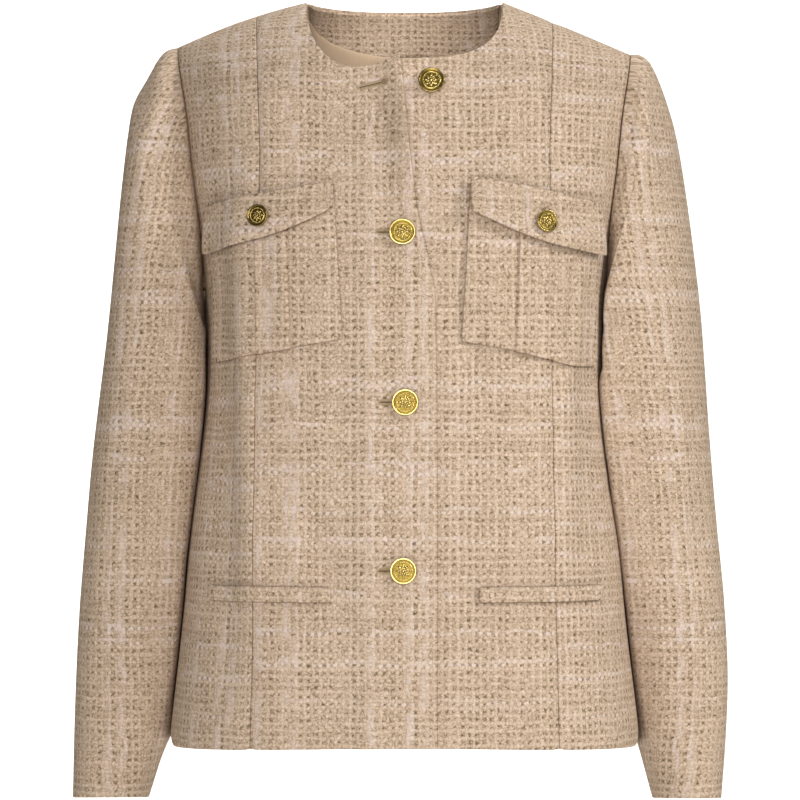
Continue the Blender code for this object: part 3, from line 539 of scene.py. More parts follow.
# %% A wall of cloth
def cloth_wall(name, outer, inner, uv, materials, flip=False, inside=None):
    """A closed wall between two grids of points, with a rounded rim.  inside says for each
    square of the inner grid whether it is faced (0) or lined (1)."""
    rows, columns = outer.shape[:2]
    loop = rim_loop(rows, columns)
    points = [outer.reshape(-1, 3), inner.reshape(-1, 3)] + rim_rings(outer, inner, loop)
    flat = rows * columns
    faces, slots, places = [], [], []
    for r in range(rows - 1):
        for c in range(columns - 1):
            square = [(r, c), (r, c + 1), (r + 1, c + 1), (r + 1, c)]
            index = [a * columns + b for a, b in square]
            faces += [index, [flat + k for k in reversed(index)]]
            places += [square, square[::-1]]
            slots += [0, 0 if inside is None else int(inside[r, c])]
    chain = [[r * columns + c for r, c in loop]]
    chain += [[2 * flat + k * len(loop) + j for j in range(len(loop))]
              for k in range(len(RIM_STEPS))]
    chain += [[flat + r * columns + c for r, c in loop]]
    for one, two in zip(chain, chain[1:]):
        for j in range(len(loop)):
            k = (j + 1) % len(loop)
            faces.append([one[k], one[j], two[j], two[k]])
            places.append([loop[k], loop[j], loop[j], loop[k]])
            slots.append(0)
    if flip:
        faces = [one[::-1] for one in faces]
        places = [one[::-1] for one in places]
    mesh = bpy.data.meshes.new(name)
    mesh.from_pydata((np.concatenate(points) * MM).tolist(), [], faces)
    layer = mesh.uv_layers.new(name="threads")
    where = np.array([uv[r, c] for one in places for r, c in one]) * MM
    layer.data.foreach_set("uv", where.astype(np.float32).ravel())
    for material in materials:
        mesh.materials.append(material)
    mesh.polygons.foreach_set("material_index", slots)
    mesh.shade_smooth()
    piece = bpy.data.objects.new(name, mesh)
    bpy.context.scene.collection.objects.link(piece)
    PIECES[name] = piece
    return piece


# %% The cut of a sheet
WAY_STEPS = 24                  # in which the way round the body is measured


def declare_sheet(piece, nodes):
    """Attach a piece to the root, and hide the solids that it replaces."""
    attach(piece, "root")
    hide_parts(*nodes)


def panel(name, outer, inner, uv, materials, flip=False, inside=None, nodes=None):
    """A wall of cloth that shows in place of the solid of the same name, or of those given."""
    piece = cloth_wall(f"cloth_{name}", outer, inner, uv, materials, flip, inside)
    declare_sheet(piece, nodes or [name])


def thread_map(turn, z, outer, reference):
    """UV in mm: across is the way round the body at one height from the reference turn, and
    up is the way along the column."""
    across = np.zeros(np.shape(turn))
    last = bare_point(reference + 0 * turn, z)
    for step in range(1, WAY_STEPS + 1):
        here = bare_point(mix(reference, turn, step / WAY_STEPS), z)
        across += np.linalg.norm(here - last, axis=-1)
        last = here
    across *= np.sign(turn - reference)
    rise = np.linalg.norm(np.diff(outer, axis=0), axis=-1)
    up = np.concatenate([z[:1], z[:1] + np.cumsum(rise, axis=0)])
    return np.stack([across, up], axis=-1)


# %% [markdown]
# ## Tweed
# Boucle tweed is woven from thick, curly yarns, so on a plain weave of threads about 3 mm
# apart lie irregular loops, and no two threads are quite one colour.  The weave is worked out
# from sines: where a warp thread is over, it is high and shows its colour, and where it dips
# the weft shows.  All of it is one field of tones, which goes through a ramp from olive brown
# to cream, and the same field is the relief of the bump.  Every second thread each way is a
# darker yarn, and where two of those cross lies a dark fleck.  A few threads are slubs,
# pinkish white for a stretch.  Wool scatters light, so it is rough, with a soft sheen and no
# gloss.

# %% Colours and scale of the tweed
THREAD = 2.95                   # mm from one thread to the next
YARN = [(0.06, "61513C"), (0.28, "8F7A62"), (0.48, "B39D86"), (0.68, "C6AF99"), (0.92, "D7C4B5")]
SLUB_PINK = "D5C5C0"
# Painted shade: the brown that the cloth's colour is mixed towards in narrow gaps.
PAINTED_SHADE_BROWN = "5E3C28"
PAINTED_SHADE_REACH = 0.008             # metres: how narrow a gap has to be to get painted shade
MATH = "ShaderNodeMath"
NOISE = "ShaderNodeTexNoise"
print("threads in 100 mm", round(100 / THREAD))


# %% The yarn's way
def wandering(cloth, shift):
    """Places on the cloth, counted in threads, which wander as curly yarn does: a slow drift,
    and a quick curl of its loops.  Also the curl itself."""
    place = add(cloth, "ShaderNodeUVMap", uv_map="threads")
    threads = add(cloth, "ShaderNodeMapping", {
        "Vector": place, "Location": (shift, shift * 0.37, 0),
        "Scale": (1000 / THREAD, 1000 / THREAD, 1)})
    slow = add(cloth, NOISE, {"Vector": threads, "Scale": 0.16, "Detail": 1.0})
    curl = add(cloth, NOISE, {"Vector": threads, "Scale": 1.1, "Detail": 2.0, "Roughness": 0.7})
    moved = threads
    for noise, reach in ((slow, 1.5), (curl, 1.7)):
        moved = add(cloth, "ShaderNodeVectorMath", {
            0: noise.outputs["Color"], 1: (reach, reach, 0), 2: moved}, operation="MULTIPLY_ADD")
    return moved, curl


# %% Over and under
def weave(cloth, u, v):
    """Where the warp lies over the weft, how high the upper thread is, and where two of the
    darker threads cross.  The warp is over where the product of two waves is above nought."""
    waves, ridges, darks = [], [], []
    for across in (u, v):
        angle = add(cloth, MATH, {0: across, 1: math.pi}, operation="MULTIPLY")
        wave = add(cloth, MATH, {0: angle}, operation="SINE")
        waves.append(wave)
        ridges.append(add(cloth, MATH, {0: wave}, operation="ABSOLUTE"))
        darks.append(add(cloth, MATH, {0: wave, 1: 0.5, 2: 0.5}, operation="MULTIPLY_ADD"))
    cross = add(cloth, MATH, {0: waves[0], 1: waves[1]}, operation="MULTIPLY")
    over = add(cloth, MATH, {0: cross, 1: 1.6, 2: 0.5}, operation="MULTIPLY_ADD", use_clamp=True)
    heights = []
    for ridge, gain, start in zip(ridges, (0.6, -0.6), (0.4, 1.0)):
        rise = add(cloth, MATH, {0: over, 1: gain, 2: start}, operation="MULTIPLY_ADD")
        heights.append(add(cloth, MATH, {0: ridge, 1: rise}, operation="MULTIPLY"))
    height = add(cloth, MATH, {0: heights[0], 1: heights[1]}, operation="MAXIMUM")
    both = add(cloth, MATH, {0: darks[0], 1: darks[1]}, operation="MULTIPLY")
    fleck = add(cloth, "ShaderNodeMapRange", {0: both, 1: 0.35, 2: 0.95},
                interpolation_type="SMOOTHSTEP")
    return over, height, fleck


# %% One thread
def thread_tone(cloth, along, across):
    """How pale a thread is, by its number and a little by the place along it, and where it is
    a slub."""
    number = add(cloth, MATH, {0: across}, operation="FLOOR")
    chance = add(cloth, "ShaderNodeTexWhiteNoise", {"W": number}, noise_dimensions="1D")
    row = add(cloth, MATH, {0: number, 1: 7.3, 2: 3.1}, operation="MULTIPLY_ADD")
    runs = []
    for pace, settings in ((0.35, {"Detail": 2.0, "Roughness": 0.6}), (0.11, {"Detail": 1.0})):
        far = add(cloth, MATH, {0: along, 1: pace}, operation="MULTIPLY")
        spot = add(cloth, "ShaderNodeCombineXYZ", {0: far, 1: row})
        runs.append(add(cloth, NOISE, {"Vector": spot, "Scale": 1.0, **settings},
                        noise_dimensions="2D"))
    by_chance = add(cloth, MATH, {0: chance, 1: 0.16}, operation="MULTIPLY")
    tone = add(cloth, MATH, {0: runs[0], 1: 0.42, 2: by_chance}, operation="MULTIPLY_ADD")
    pair = add(cloth, MATH, {0: across, 1: 2.0}, operation="SNAP")
    rare = add(cloth, "ShaderNodeTexWhiteNoise", {"W": pair}, noise_dimensions="1D")
    chosen = add(cloth, MATH, {0: rare, 1: 0.84}, operation="GREATER_THAN")
    here = add(cloth, "ShaderNodeMapRange", {0: runs[1], 1: 0.46, 2: 0.62, 4: 0.6})
    return tone, add(cloth, MATH, {0: chosen, 1: here}, operation="MULTIPLY")


# %% Tweed
def tweed(name, shift):
    """Woven boucle tweed: a dry, grainy surface of cream and brown loops that drinks the light.
    Its threads start at another place on each panel."""
    cloth, shader = new_material(
        name, Roughness=0.93, Sheen_Weight=0.10, Sheen_Roughness=0.5, Sheen_Tint=srgb("F2DCC0"),
        Specular_IOR_Level=0.15)
    wander, curl = wandering(cloth, shift)
    u, v = add(cloth, "ShaderNodeSeparateXYZ", {0: wander}).outputs[:2]
    over, height, fleck = weave(cloth, u, v)
    # The upper thread hides most of the lower one, and its loops let some of it through.
    shows = add(cloth, "ShaderNodeMapRange", {0: over, 3: 0.15, 4: 0.85})
    weft, warp = thread_tone(cloth, u, v), thread_tone(cloth, v, u)
    thread, slub = (add(cloth, "ShaderNodeMix", {0: shows, 2: below, 3: above})
                    for below, above in zip(weft, warp))
    # Loops of the yarn throw small shadows of their own: painted shade in the colour, and relief
    # in the bump.
    fuzz = add(cloth, NOISE, {"Vector": wander, "Scale": 1.6, "Detail": 3.0, "Roughness": 0.75})
    loops = add(cloth, MATH, {0: fuzz, 1: 1.35, 2: thread}, operation="MULTIPLY_ADD")
    # Raised threads are drawn paler and the dips between them darker: painted shade in the gaps,
    # besides the relief in the bump.
    level = add(cloth, MATH, {0: height, 1: 0.30, 2: loops}, operation="MULTIPLY_ADD")
    deep = add(cloth, "ShaderNodeMapRange", {0: curl, 1: 0.30, 2: 0.70, 3: 0.0, 4: -0.56})
    sunk = add(cloth, MATH, {0: fleck, 1: deep, 2: level}, operation="MULTIPLY_ADD")
    tone = add(cloth, "ShaderNodeMapRange", {0: sunk, 1: 0.65, 2: 1.60})
    ramp = add(cloth, "ShaderNodeValToRGB", {0: tone})
    while len(ramp.color_ramp.elements) < len(YARN):
        ramp.color_ramp.elements.new(0.5)
    for element, (at, colour) in zip(ramp.color_ramp.elements, YARN):
        element.position = at
        element.color = srgb(colour)
    pale = add(cloth, "ShaderNodeMix", {0: slub, 6: ramp, 7: srgb(SLUB_PINK)}, data_type="RGBA")
    # Deep in a seam or under an edge the cloth's colour is mixed towards brown: painted shade,
    # found by an occlusion test, on top of the lamps' own shadows.
    gap_openness = add(cloth, "ShaderNodeAmbientOcclusion", {"Distance": PAINTED_SHADE_REACH}, samples=4)
    painted_shade_amount = add(cloth, "ShaderNodeMapRange", {
        0: gap_openness.outputs["AO"], 1: 0.20, 2: 0.80, 3: 0.70, 4: 0.0})
    brown = add(cloth, "ShaderNodeMix", {
        0: painted_shade_amount, 6: pale.outputs[2], 7: srgb(PAINTED_SHADE_BROWN)}, data_type="RGBA")
    bump = add(cloth, "ShaderNodeBump", {"Strength": 0.5, "Distance": 0.0010, "Height": sunk})
    feed(shader, Base_Color=brown.outputs[2], Normal=bump.outputs[0])
    return cloth


SHIFTS = {"fronts": 0.0, "sides": 11.3, "back": 23.7,     # in threads
          "sleeves": 37.1, "pockets": 5.6, "flaps": 51.4}
tweeds = {name: tweed(f"boucle_tweed_{name}", shift) for name, shift in SHIFTS.items()}
print("tweeds", len(tweeds), "of", len(tweeds["back"].node_tree.nodes), "nodes each")

# %% [markdown]
# ## Satin lining
# The lining is a smooth satin in a pinkish beige: long floats of fine thread that give a
# broad, silky shine.  The threads are far too fine to show, so only a faint drag across them
# is drawn.

# %% Satin
# Woven viscose satin: pinkish beige, with one broad soft shine that follows its folds.
satin, satin_shader = new_material(
    "viscose_satin", Roughness=0.38, Sheen_Weight=0.1, Specular_IOR_Level=0.42)
satin_place = add(satin, "ShaderNodeUVMap", uv_map="threads")
satin_stretch = add(satin, "ShaderNodeMapping", {"Vector": satin_place, "Scale": (900, 60, 1)})
satin_drag = add(satin, NOISE, {"Vector": satin_stretch, "Scale": 1.0, "Detail": 2.0})
two_tone(satin, satin_shader, satin_drag, "B89E82", "CBB397")
satin_bump = add(satin, "ShaderNodeBump", {
    "Strength": 0.15, "Distance": 0.0002, "Height": satin_drag})
feed(satin_shader, Normal=satin_bump.outputs[0])
print("satin", len(satin.node_tree.nodes), "nodes")

# %% [markdown]
# ## Fronts
# The centre fronts run from a free edge to the princess seam.  Each column of their grid
# goes from the hem to a place on the neck edge or the shoulder, so the edges are exact.  The
# right front lies over the left one.  Its top button is undone, so its edge stands away and
# rolls back a little.

# %% Rows and columns of the body
FRONT_ROWS = 120                # rows of the fine grids, from the hem to the neck and shoulder
SEAM_ROLL = 1.1                 # the edges are drawn in by this much for their round rim,
SEAM_MEET = 0.95                # and sewn ones by a little less, so that the rims meet
SEAM_SINK = 0.6                 # a seam pulls the cloth in by this much,
SEAM_REACH = 5.0                # and so far to each side


def row_shares(count):
    """Shares of a column's height, close together over the shoulder."""
    round_it = SHOULDER_ROUND["front"] / (NECK_TOP - HEM_SIDE)
    knots = [0.0] + list(np.linspace(0.012, 1 - round_it, 18))
    knots += [1 - round_it * (1 - math.cos(math.pi / 2 * (1 - i / 9))) for i in range(1, 10)]
    return np.interp(np.linspace(0, len(knots) - 1, count), range(len(knots)), knots)[:, None]


def hem_height(turn):
    """The hem falls from centre front to the side seams, and runs level round the back."""
    share = np.sin(np.radians(np.minimum(np.abs(turn), 90))) ** 2
    return HEM_FRONT + (HEM_SIDE - HEM_FRONT) * share


def neck_height(x, front=True, loose=False):
    share = np.minimum(np.abs(x) / NECK_HALF, 1.0)
    if not front:
        return mix(BACK_NECK, NECK_TOP, share**3)
    rise = 1 - np.maximum(1 - share**NECK_CORNER, 0.0) ** (1 / NECK_CORNER)
    height = mix(FRONT_NECK, NECK_TOP, rise)
    return height - (smooth(NECK_SAG, "drop", x, "x") if loose else 0.0)


def top_height(x, front=True, loose=False):
    """Height of a panel's top edge: the neck edge, and past it the shoulder seam.  The free
    corner of the right front hangs loose."""
    return np.where(np.abs(x) < NECK_HALF, neck_height(x, front, loose), shoulder_height(x))


def lap_out(x, z):
    """How far the right front stands off the form, over the left one and where it is free."""
    edge = smooth(EDGES, "right_edge", z)
    step = (WALL + LAP_GAP) * ease((x - LAP_INNER) / (LAP_FULL - LAP_INNER))
    rise = np.clip(1 - (edge - x) / LIFT_REACH, 0.0, 1.0)
    return step + smooth(EDGES, "lift", z) * mix(rise, ease(rise), LIFT_ROLL)


def seam_sink(distance):
    return -SEAM_SINK * np.exp(-((distance / SEAM_REACH) ** 2))


print("centre front from", HEM_FRONT, "up to", float(top_height(0.0)))


# %% Centre fronts
def front_grid(side, columns, out):
    """Turn, height and points of a centre front, out millimetres off the form."""
    column = "right_edge" if side < 0 else "left_edge"
    seam_top = side * float(smooth(PRINCESS, "x", PRINCESS_TOP))
    knots = [float(smooth(EDGES, column, FRONT_NECK))]
    knots += [side * NECK_HALF * math.sin(math.pi / 2 * i / 7) ** (2 / NECK_CORNER)
              for i in range(1, 8)]
    knots += list(np.linspace(side * NECK_HALF, seam_top, 4)[1:])
    x_top = np.interp(np.linspace(0, len(knots) - 1, columns), range(len(knots)), knots)[None, :]
    even = np.linspace(0, 1, columns)[None, :]
    share = row_shares(FRONT_ROWS)

    def line(z, part):
        return mix(smooth(EDGES, column, z), side * smooth(PRINCESS, "x", z), part)

    part_top = (x_top - x_top[0, 0]) / (x_top[0, -1] - x_top[0, 0])
    z_top = top_height(x_top, loose=side < 0)
    z_hem = hem_height(turn_at(line(HEM_FRONT, even), HEM_FRONT))
    z = mix(z_hem, z_top, share)
    x = line(z, mix(even, part_top, ease(share)))
    x = x + (x_top - line(z_top, part_top)) * ease(share)
    turn = turn_at(x, z)
    raised = lap_out(x, z) if side < 0 else 0.0
    sunk = seam_sink(np.abs(side * smooth(PRINCESS, "x", z) - x))
    points = body_point(turn, z, out + raised + sunk)
    return turn, z, pull_in(points, SEAM_ROLL, SEAM_MEET, SEAM_ROLL, SEAM_MEET)


# %% Facings, and both centre fronts
FRONT_COLUMNS = 32
FACING_WIDTH = 62.0             # of the tweed facing inside the front edges
NECK_FACING = 40.0              # and below the neck
HEM_TURN = 30.0                 # cloth turned up inside the hem and the cuffs


def faced(outer, edge_and_top=False):
    """Which squares of a grid's inner side are lined: all above the hem, and on a centre front
    only those away from its edge and the neck."""
    across = np.linalg.norm(np.diff(outer, axis=1), axis=-1).cumsum(axis=1)[:-1]
    up = np.linalg.norm(np.diff(outer, axis=0), axis=-1).cumsum(axis=0)[:, :-1]
    lined = up > HEM_TURN
    if edge_and_top:
        lined &= (across > FACING_WIDTH) & (up[-1:] - up > NECK_FACING)
    return lined.astype(int)


SIDES = ((-1, "right"), (1, "left"))
for side, name in SIDES:
    turn, z, outer = front_grid(side, FRONT_COLUMNS, 0.0)
    inner = front_grid(side, FRONT_COLUMNS, -WALL)[2]
    panel(f"front_{name}", outer, inner, thread_map(turn, z, outer, 0.0),
          [tweeds["fronts"], satin], flip=side < 0, inside=faced(outer, True))

# %% [markdown]
# ## Side fronts
# A side front goes from the princess seam round to the side seam.  The armhole is scooped out
# of its top: down from the shoulder point it runs straight, then curves out to the side.

# %% Armholes
def armhole_turn(z, front=True):
    """Degrees round the body of the armhole's edge."""
    top = turn_at(ARMHOLE_REACH * smooth(BODY, "half_width", z), z, front)
    drop = np.clip((ARMHOLE_STRAIGHT - z) / (ARMHOLE_STRAIGHT - UNDERARM), 0.0, 1.0)
    return mix(top, 90.0, 1 - np.sqrt(np.maximum(1 - drop * drop, 0.0)))


def shoulder_tip(side):
    """Place and height where the shoulder seam ends at the armhole."""
    x = ARMHOLE_REACH * smooth(BODY, "half_width", 0.0)
    for _ in range(4):
        x = ARMHOLE_REACH * smooth(BODY, "half_width", shoulder_height(side * x))
    return float(x), float(shoulder_height(side * x))


def armhole_height(step, tip_z):
    """Height down an armhole's edge, from the tip (0) to the underarm (1)."""
    return UNDERARM + (tip_z - UNDERARM) * (1 - np.sin(step * math.pi / 2))


print("shoulder tips", shoulder_tip(-1), shoulder_tip(1))


# %% Side fronts
SIDE_COLUMNS = 40


def side_front_grid(side, columns, out):
    """Turn, height and points of a side front.  Three ninths of its columns end at the
    shoulder seam, and the rest at the armhole."""
    tip_x, tip_z = shoulder_tip(side)
    seam_x = float(smooth(PRINCESS, "x", PRINCESS_TOP))
    place = np.linspace(0, 9, columns)
    x_top = mix(seam_x, tip_x, np.clip(place / 3, 0, 1))
    z_shoulder = shoulder_height(side * x_top)
    z_arm = armhole_height(np.clip((place - 3) / 6, 0, 1), tip_z)
    on_shoulder = place <= 3
    z_top = np.where(on_shoulder, z_shoulder, z_arm)[None, :]
    turn_top = np.where(on_shoulder, turn_at(x_top, z_shoulder), armhole_turn(z_arm))[None, :]
    share = row_shares(FRONT_ROWS)
    even = np.linspace(0, 1, columns)[None, :]
    seam_top = turn_at(smooth(PRINCESS, "x", z_top), z_top)
    u = mix(even, (turn_top - seam_top) / (90 - seam_top), share)
    seam_hem = turn_at(smooth(PRINCESS, "x", HEM_SIDE), HEM_SIDE)
    z = mix(hem_height(mix(seam_hem, 90, even)), z_top, share)
    seam = turn_at(smooth(PRINCESS, "x", z), z)
    turn = mix(seam, 90, u) * side
    from_seam = np.abs(bare_point(turn, z)[..., 0]) - smooth(PRINCESS, "x", z)
    sunk = seam_sink(from_seam) + seam_sink((90 - np.abs(turn)) * MM_PER_DEGREE)
    points = body_point(turn, z, out + sunk)
    return turn, z, pull_in(points, SEAM_MEET, SEAM_MEET, SEAM_ROLL, SEAM_MEET)


for side, name in SIDES:
    turn, z, outer = side_front_grid(side, SIDE_COLUMNS, 0.0)
    inner = side_front_grid(side, SIDE_COLUMNS, -WALL)[2]
    uv = thread_map(turn, z, outer, side * turn_at(smooth(PRINCESS, "x", z), z))
    panel(f"side_front_{name}", outer, inner, uv, [tweeds["sides"], satin],
          flip=side < 0, inside=faced(outer))

# %% [markdown]
# ## Back
# The back is one panel, from one side seam round to the other, with the neck edge, the
# shoulder seams and both armholes along its top.  Its threads are laid out from its middle.


# %% Rows and columns of the back
NECK_PLACE, TIP_PLACE, SIDE_PLACE = 4, 7, 13    # along the back's top edge, from its middle


def back_half(side, place):
    """Turn and height along half of the back's top edge: from its middle by the neck point
    and the shoulder tip to the side seam."""
    tip_x, tip_z = shoulder_tip(side)
    x = np.interp(place, [0, NECK_PLACE, TIP_PLACE], [0, NECK_HALF, tip_x])
    z_line = top_height(side * x, front=False)
    down = np.clip((place - TIP_PLACE) / (SIDE_PLACE - TIP_PLACE), 0, 1)
    z_arm = armhole_height(down, tip_z)
    on_line = place <= TIP_PLACE
    turn = np.where(on_line, turn_at(x, z_line, False), armhole_turn(z_arm, False))
    return turn, np.where(on_line, z_line, z_arm)


def back_columns(place, rows):
    """Way round (90 at the left side seam to 270 at the right one) and height of columns that
    end at places along the top edge."""
    right, left = back_half(-1, np.abs(place)), back_half(1, np.abs(place))
    turn_top = np.where(place < 0, 360 - right[0], left[0])[None, :]
    z_top = np.where(place < 0, right[1], left[1])[None, :]
    share = row_shares(rows)
    turn_hem = mix(270, 90, (place[None, :] + SIDE_PLACE) / (2 * SIDE_PLACE))
    return mix(turn_hem, turn_top, share), mix(hem_height(90), z_top, share)


def back_point(round_it, z, out, fine=1.0):
    return body_point(np.where(round_it <= 180, round_it, round_it - 360), z, out, fine)


def back_threads(round_it, z, outer):
    """UV of the back.  Its turn passes 180 degrees, so each half is measured from there."""
    uv = thread_map(180 - np.abs(180 - round_it), z, outer, 180.0)
    uv[..., 0] *= np.where(round_it <= 180, 1, -1)
    return uv


# %% Back
BACK_COLUMNS = 121
round_it, z = back_columns(np.linspace(-SIDE_PLACE, SIDE_PLACE, BACK_COLUMNS), FRONT_ROWS)
sunk = seam_sink((90 - np.abs(180 - round_it)) * MM_PER_DEGREE)
outer, inner = (
    pull_in(back_point(round_it, z, out + sunk), SEAM_MEET, SEAM_MEET, SEAM_ROLL, SEAM_MEET)
    for out in (0.0, -WALL))
panel("back", outer, inner, back_threads(round_it, z, outer), [tweeds["back"], satin],
      flip=True, inside=faced(outer))

# %% [markdown]
# ## Sleeves
# A set-in sleeve starts at the armhole and hangs beside the body, with its elbow a little
# forward.  Each is worked out as rings between its outer line and its inner line.  The first
# rings carry over into the armhole's own curve, and lower down the sleeve is pushed out where
# it would run into the body.  Here both halves are one tube with its seam at the back of the
# arm, where the real one is closed last.

# %% Rings of the sleeves
Ring = namedtuple("Ring", "outer_x outer_z inner_x inner_z mid_y half_depth turn_in")
SLEEVES = {
    -1: [
        Ring(180.0, 6.0, 159.5, -195, 0.0, 50.0, 0.0),
        Ring(188.5, 3.0, 159.5, -205, -2.0, 55.0, -1.0),
        Ring(196.0, -5.0, 159.0, -216, -4.0, 59.0, -3.0),
        Ring(204.0, -20.0, 152.5, -229, -5.0, 61.5, -6.0),
        Ring(212.5, -38.0, 149.0, -243, -6.0, 62.5, -10.0),
        Ring(215.5, -60.0, 147.0, -258, -7.0, 62.5, -13.0),
        Ring(219.0, -98.0, 146.5, -277, -7.0, 62.0, -15.0),
        Ring(223.5, -148.0, 147.5, -302, -6.0, 61.0, -16.0),
        Ring(229.5, -202.0, 150.0, -334, -3.0, 60.0, -16.0),
        Ring(237.0, -256.0, 153.5, -368, 1.0, 58.0, -14.0),
        Ring(245.0, -316.0, 158.0, -404, 6.0, 56.0, -12.0),
        Ring(252.0, -376.0, 163.0, -442, 11.0, 54.0, -9.0),
        Ring(258.5, -436.0, 169.0, -482, 16.0, 51.5, -6.0),
        Ring(262.5, -494.0, 178.0, -522, 20.0, 48.5, -4.0),
        Ring(265.0, -546.0, 195.0, -561, 23.0, 45.5, -2.0),
        Ring(266.5, -596.5, 206.0, -596.5, 25.0, 43.0, 0.0),
    ],
    1: [
        Ring(181.0, -0.5, 159.5, -195, 0.0, 50.0, 0.0),
        Ring(189.0, -1.0, 159.0, -205, 0.0, 53.0, 0.0),
        Ring(196.0, -7.0, 157.0, -216, -0.5, 55.5, 2.0),
        Ring(203.5, -22.0, 152.5, -229, -1.0, 56.5, 4.0),
        Ring(209.5, -38.0, 149.0, -243, -2.0, 56.5, 8.0),
        Ring(215.0, -60.0, 147.0, -258, -2.5, 56.0, 12.0),
        Ring(220.5, -96.0, 145.5, -277, -3.0, 56.0, 15.0),
        Ring(227.5, -148.0, 146.5, -302, -3.0, 57.0, 16.0),
        Ring(234.5, -202.0, 150.0, -334, -1.0, 58.0, 14.0),
        Ring(240.0, -256.0, 154.0, -368, 1.5, 57.5, 10.0),
        Ring(245.0, -316.0, 159.0, -404, 6.0, 56.0, 6.0),
        Ring(250.0, -376.0, 165.0, -442, 11.0, 54.0, 3.0),
        Ring(256.0, -436.0, 171.0, -482, 15.0, 51.5, 0.0),
        Ring(259.0, -494.0, 178.5, -522, 18.0, 48.5, -2.0),
        Ring(257.5, -546.0, 189.5, -560, 19.0, 45.5, -2.0),
        Ring(254.5, -596.5, 199.5, -596.5, 19.0, 43.0, 0.0),
    ],
}
SLEEVE_POWER = 2.3              # power of a sleeve's section
CUFF_TILT = 0.09                # rise of the cuff for each mm to the front
SLEEVE_STAND = 0.4              # a sleeve stands this far outside its armhole,
SET_IN = 3.2                    # and takes up the armhole's curve over so many rings
SLEEVE_CLEAR = 0.7              # least gap to the body,
POCKET_CLEAR = 3.4              # and more of it beside the chest pockets,
POCKET_END = -262.0             # down to here
FRONT_ARM_SEAM = 150.0          # degrees round a sleeve: 0 is outside, and 90 the front
HIND_ARM_SEAM = 244.0
ARM_MM_PER_DEGREE = 0.95
ARM_LENGTH = 620.0
print("rings of a sleeve", len(SLEEVES[1]))

# %% Creases of the sleeves
# Here across is in degrees round the sleeve, and up is a share of its length, from the
# armhole (0) to the cuff (1).
ARM_CREASES = {
    -1: [Crease(*row) for row in (
        (60, 0.05, 78, 0.30, 7, -1.3, 4), (46, 0.05, 58, 0.26, 6, 1.0, 3),
        (20, 0.06, 34, 0.34, 9, -0.9, 5), (104, 0.22, 62, 0.40, 8, -1.2, 6),
        (112, 0.32, 66, 0.47, 8, 1.1, -5), (118, 0.42, 60, 0.52, 7, -1.5, 5),
        (112, 0.50, 50, 0.60, 8, 1.0, -6), (116, 0.56, 64, 0.66, 7, -1.1, 5),
        (52, 0.58, 46, 0.86, 10, -0.8, 5), (86, 0.66, 92, 0.94, 9, 0.8, -4),
        (-30, 0.08, -46, 0.38, 9, -1.0, 4), (-64, 0.06, -82, 0.34, 8, -1.3, -5),
        (-96, 0.30, -54, 0.48, 9, -1.4, 6), (-102, 0.42, -48, 0.56, 8, 1.3, -5),
        (-98, 0.50, -56, 0.64, 8, -1.2, 4), (-60, 0.66, -70, 0.92, 10, 0.8, 4),
    )],
    1: [Crease(*row) for row in (
        (62, 0.04, 82, 0.27, 7, -1.2, -4), (44, 0.05, 60, 0.30, 7, 1.0, 3),
        (26, 0.07, 30, 0.38, 9, -0.8, -5), (108, 0.26, 58, 0.38, 8, -1.3, -6),
        (116, 0.38, 56, 0.49, 8, -1.5, 6), (110, 0.46, 62, 0.55, 7, 1.3, -4),
        (60, 0.50, 104, 0.72, 8, -1.6, 7), (50, 0.56, 92, 0.80, 9, 1.2, 6),
        (96, 0.72, 88, 0.95, 9, -0.9, 4), (40, 0.64, 52, 0.90, 10, -0.8, -4),
        (-34, 0.08, -44, 0.36, 9, -1.0, -4), (-60, 0.06, -84, 0.36, 8, -1.2, 5),
        (-100, 0.32, -52, 0.46, 9, -1.3, -6), (-98, 0.44, -46, 0.58, 8, 1.3, 5),
        (-102, 0.52, -54, 0.66, 8, -1.3, -4), (-66, 0.68, -58, 0.93, 10, 0.8, -4),
    )],
}
CREASE_TOP = 1.6                # no crease stands up more, so that sleeve and body stay apart
SEAM_SHARE = 0.3                # the armhole's seam is drawn in less than the others
print("creases", {side: len(rows) for side, rows in ARM_CREASES.items()})


# %% Points of a sleeve
def armhole_loop(side, around):
    """The armhole's own curve, for a sleeve's way round."""
    tip_z = shoulder_tip(side)[1]
    angle = np.radians(around)
    z = mix(UNDERARM, tip_z, (1 + np.cos(angle)) / 2)
    front = np.sin(angle) >= 0
    point = bare_point(armhole_turn(z, front) * side, z - 1e-6)
    point[..., 0] = np.abs(point[..., 0])
    return point


def ring_value(side, column, along):
    rings = SLEEVES[side]
    values = [getattr(ring, column) for ring in rings]
    return curve(range(len(rings)), values, along * (len(rings) - 1))


def plain_sleeve_point(side, around, along):
    """Points of the rings alone, on the left side of the body."""
    value = {column: ring_value(side, column, along) for column in Ring._fields}
    s, c = np.sin(np.radians(around)), np.cos(np.radians(around))
    toward_outer = np.sign(c) * np.abs(c) ** (2 / SLEEVE_POWER)
    toward_front = np.sign(s) * np.abs(s) ** (2 / SLEEVE_POWER)
    part = (1 + toward_outer) / 2
    x = mix(value["inner_x"], value["outer_x"], part) - value["turn_in"] * toward_front
    y = value["mid_y"] - value["half_depth"] * toward_front
    z = mix(value["inner_z"], value["outer_z"], part)
    z = z - CUFF_TILT * (y - value["mid_y"]) * ease(along * 2 - 1)
    return np.stack([x, y, z], axis=-1)


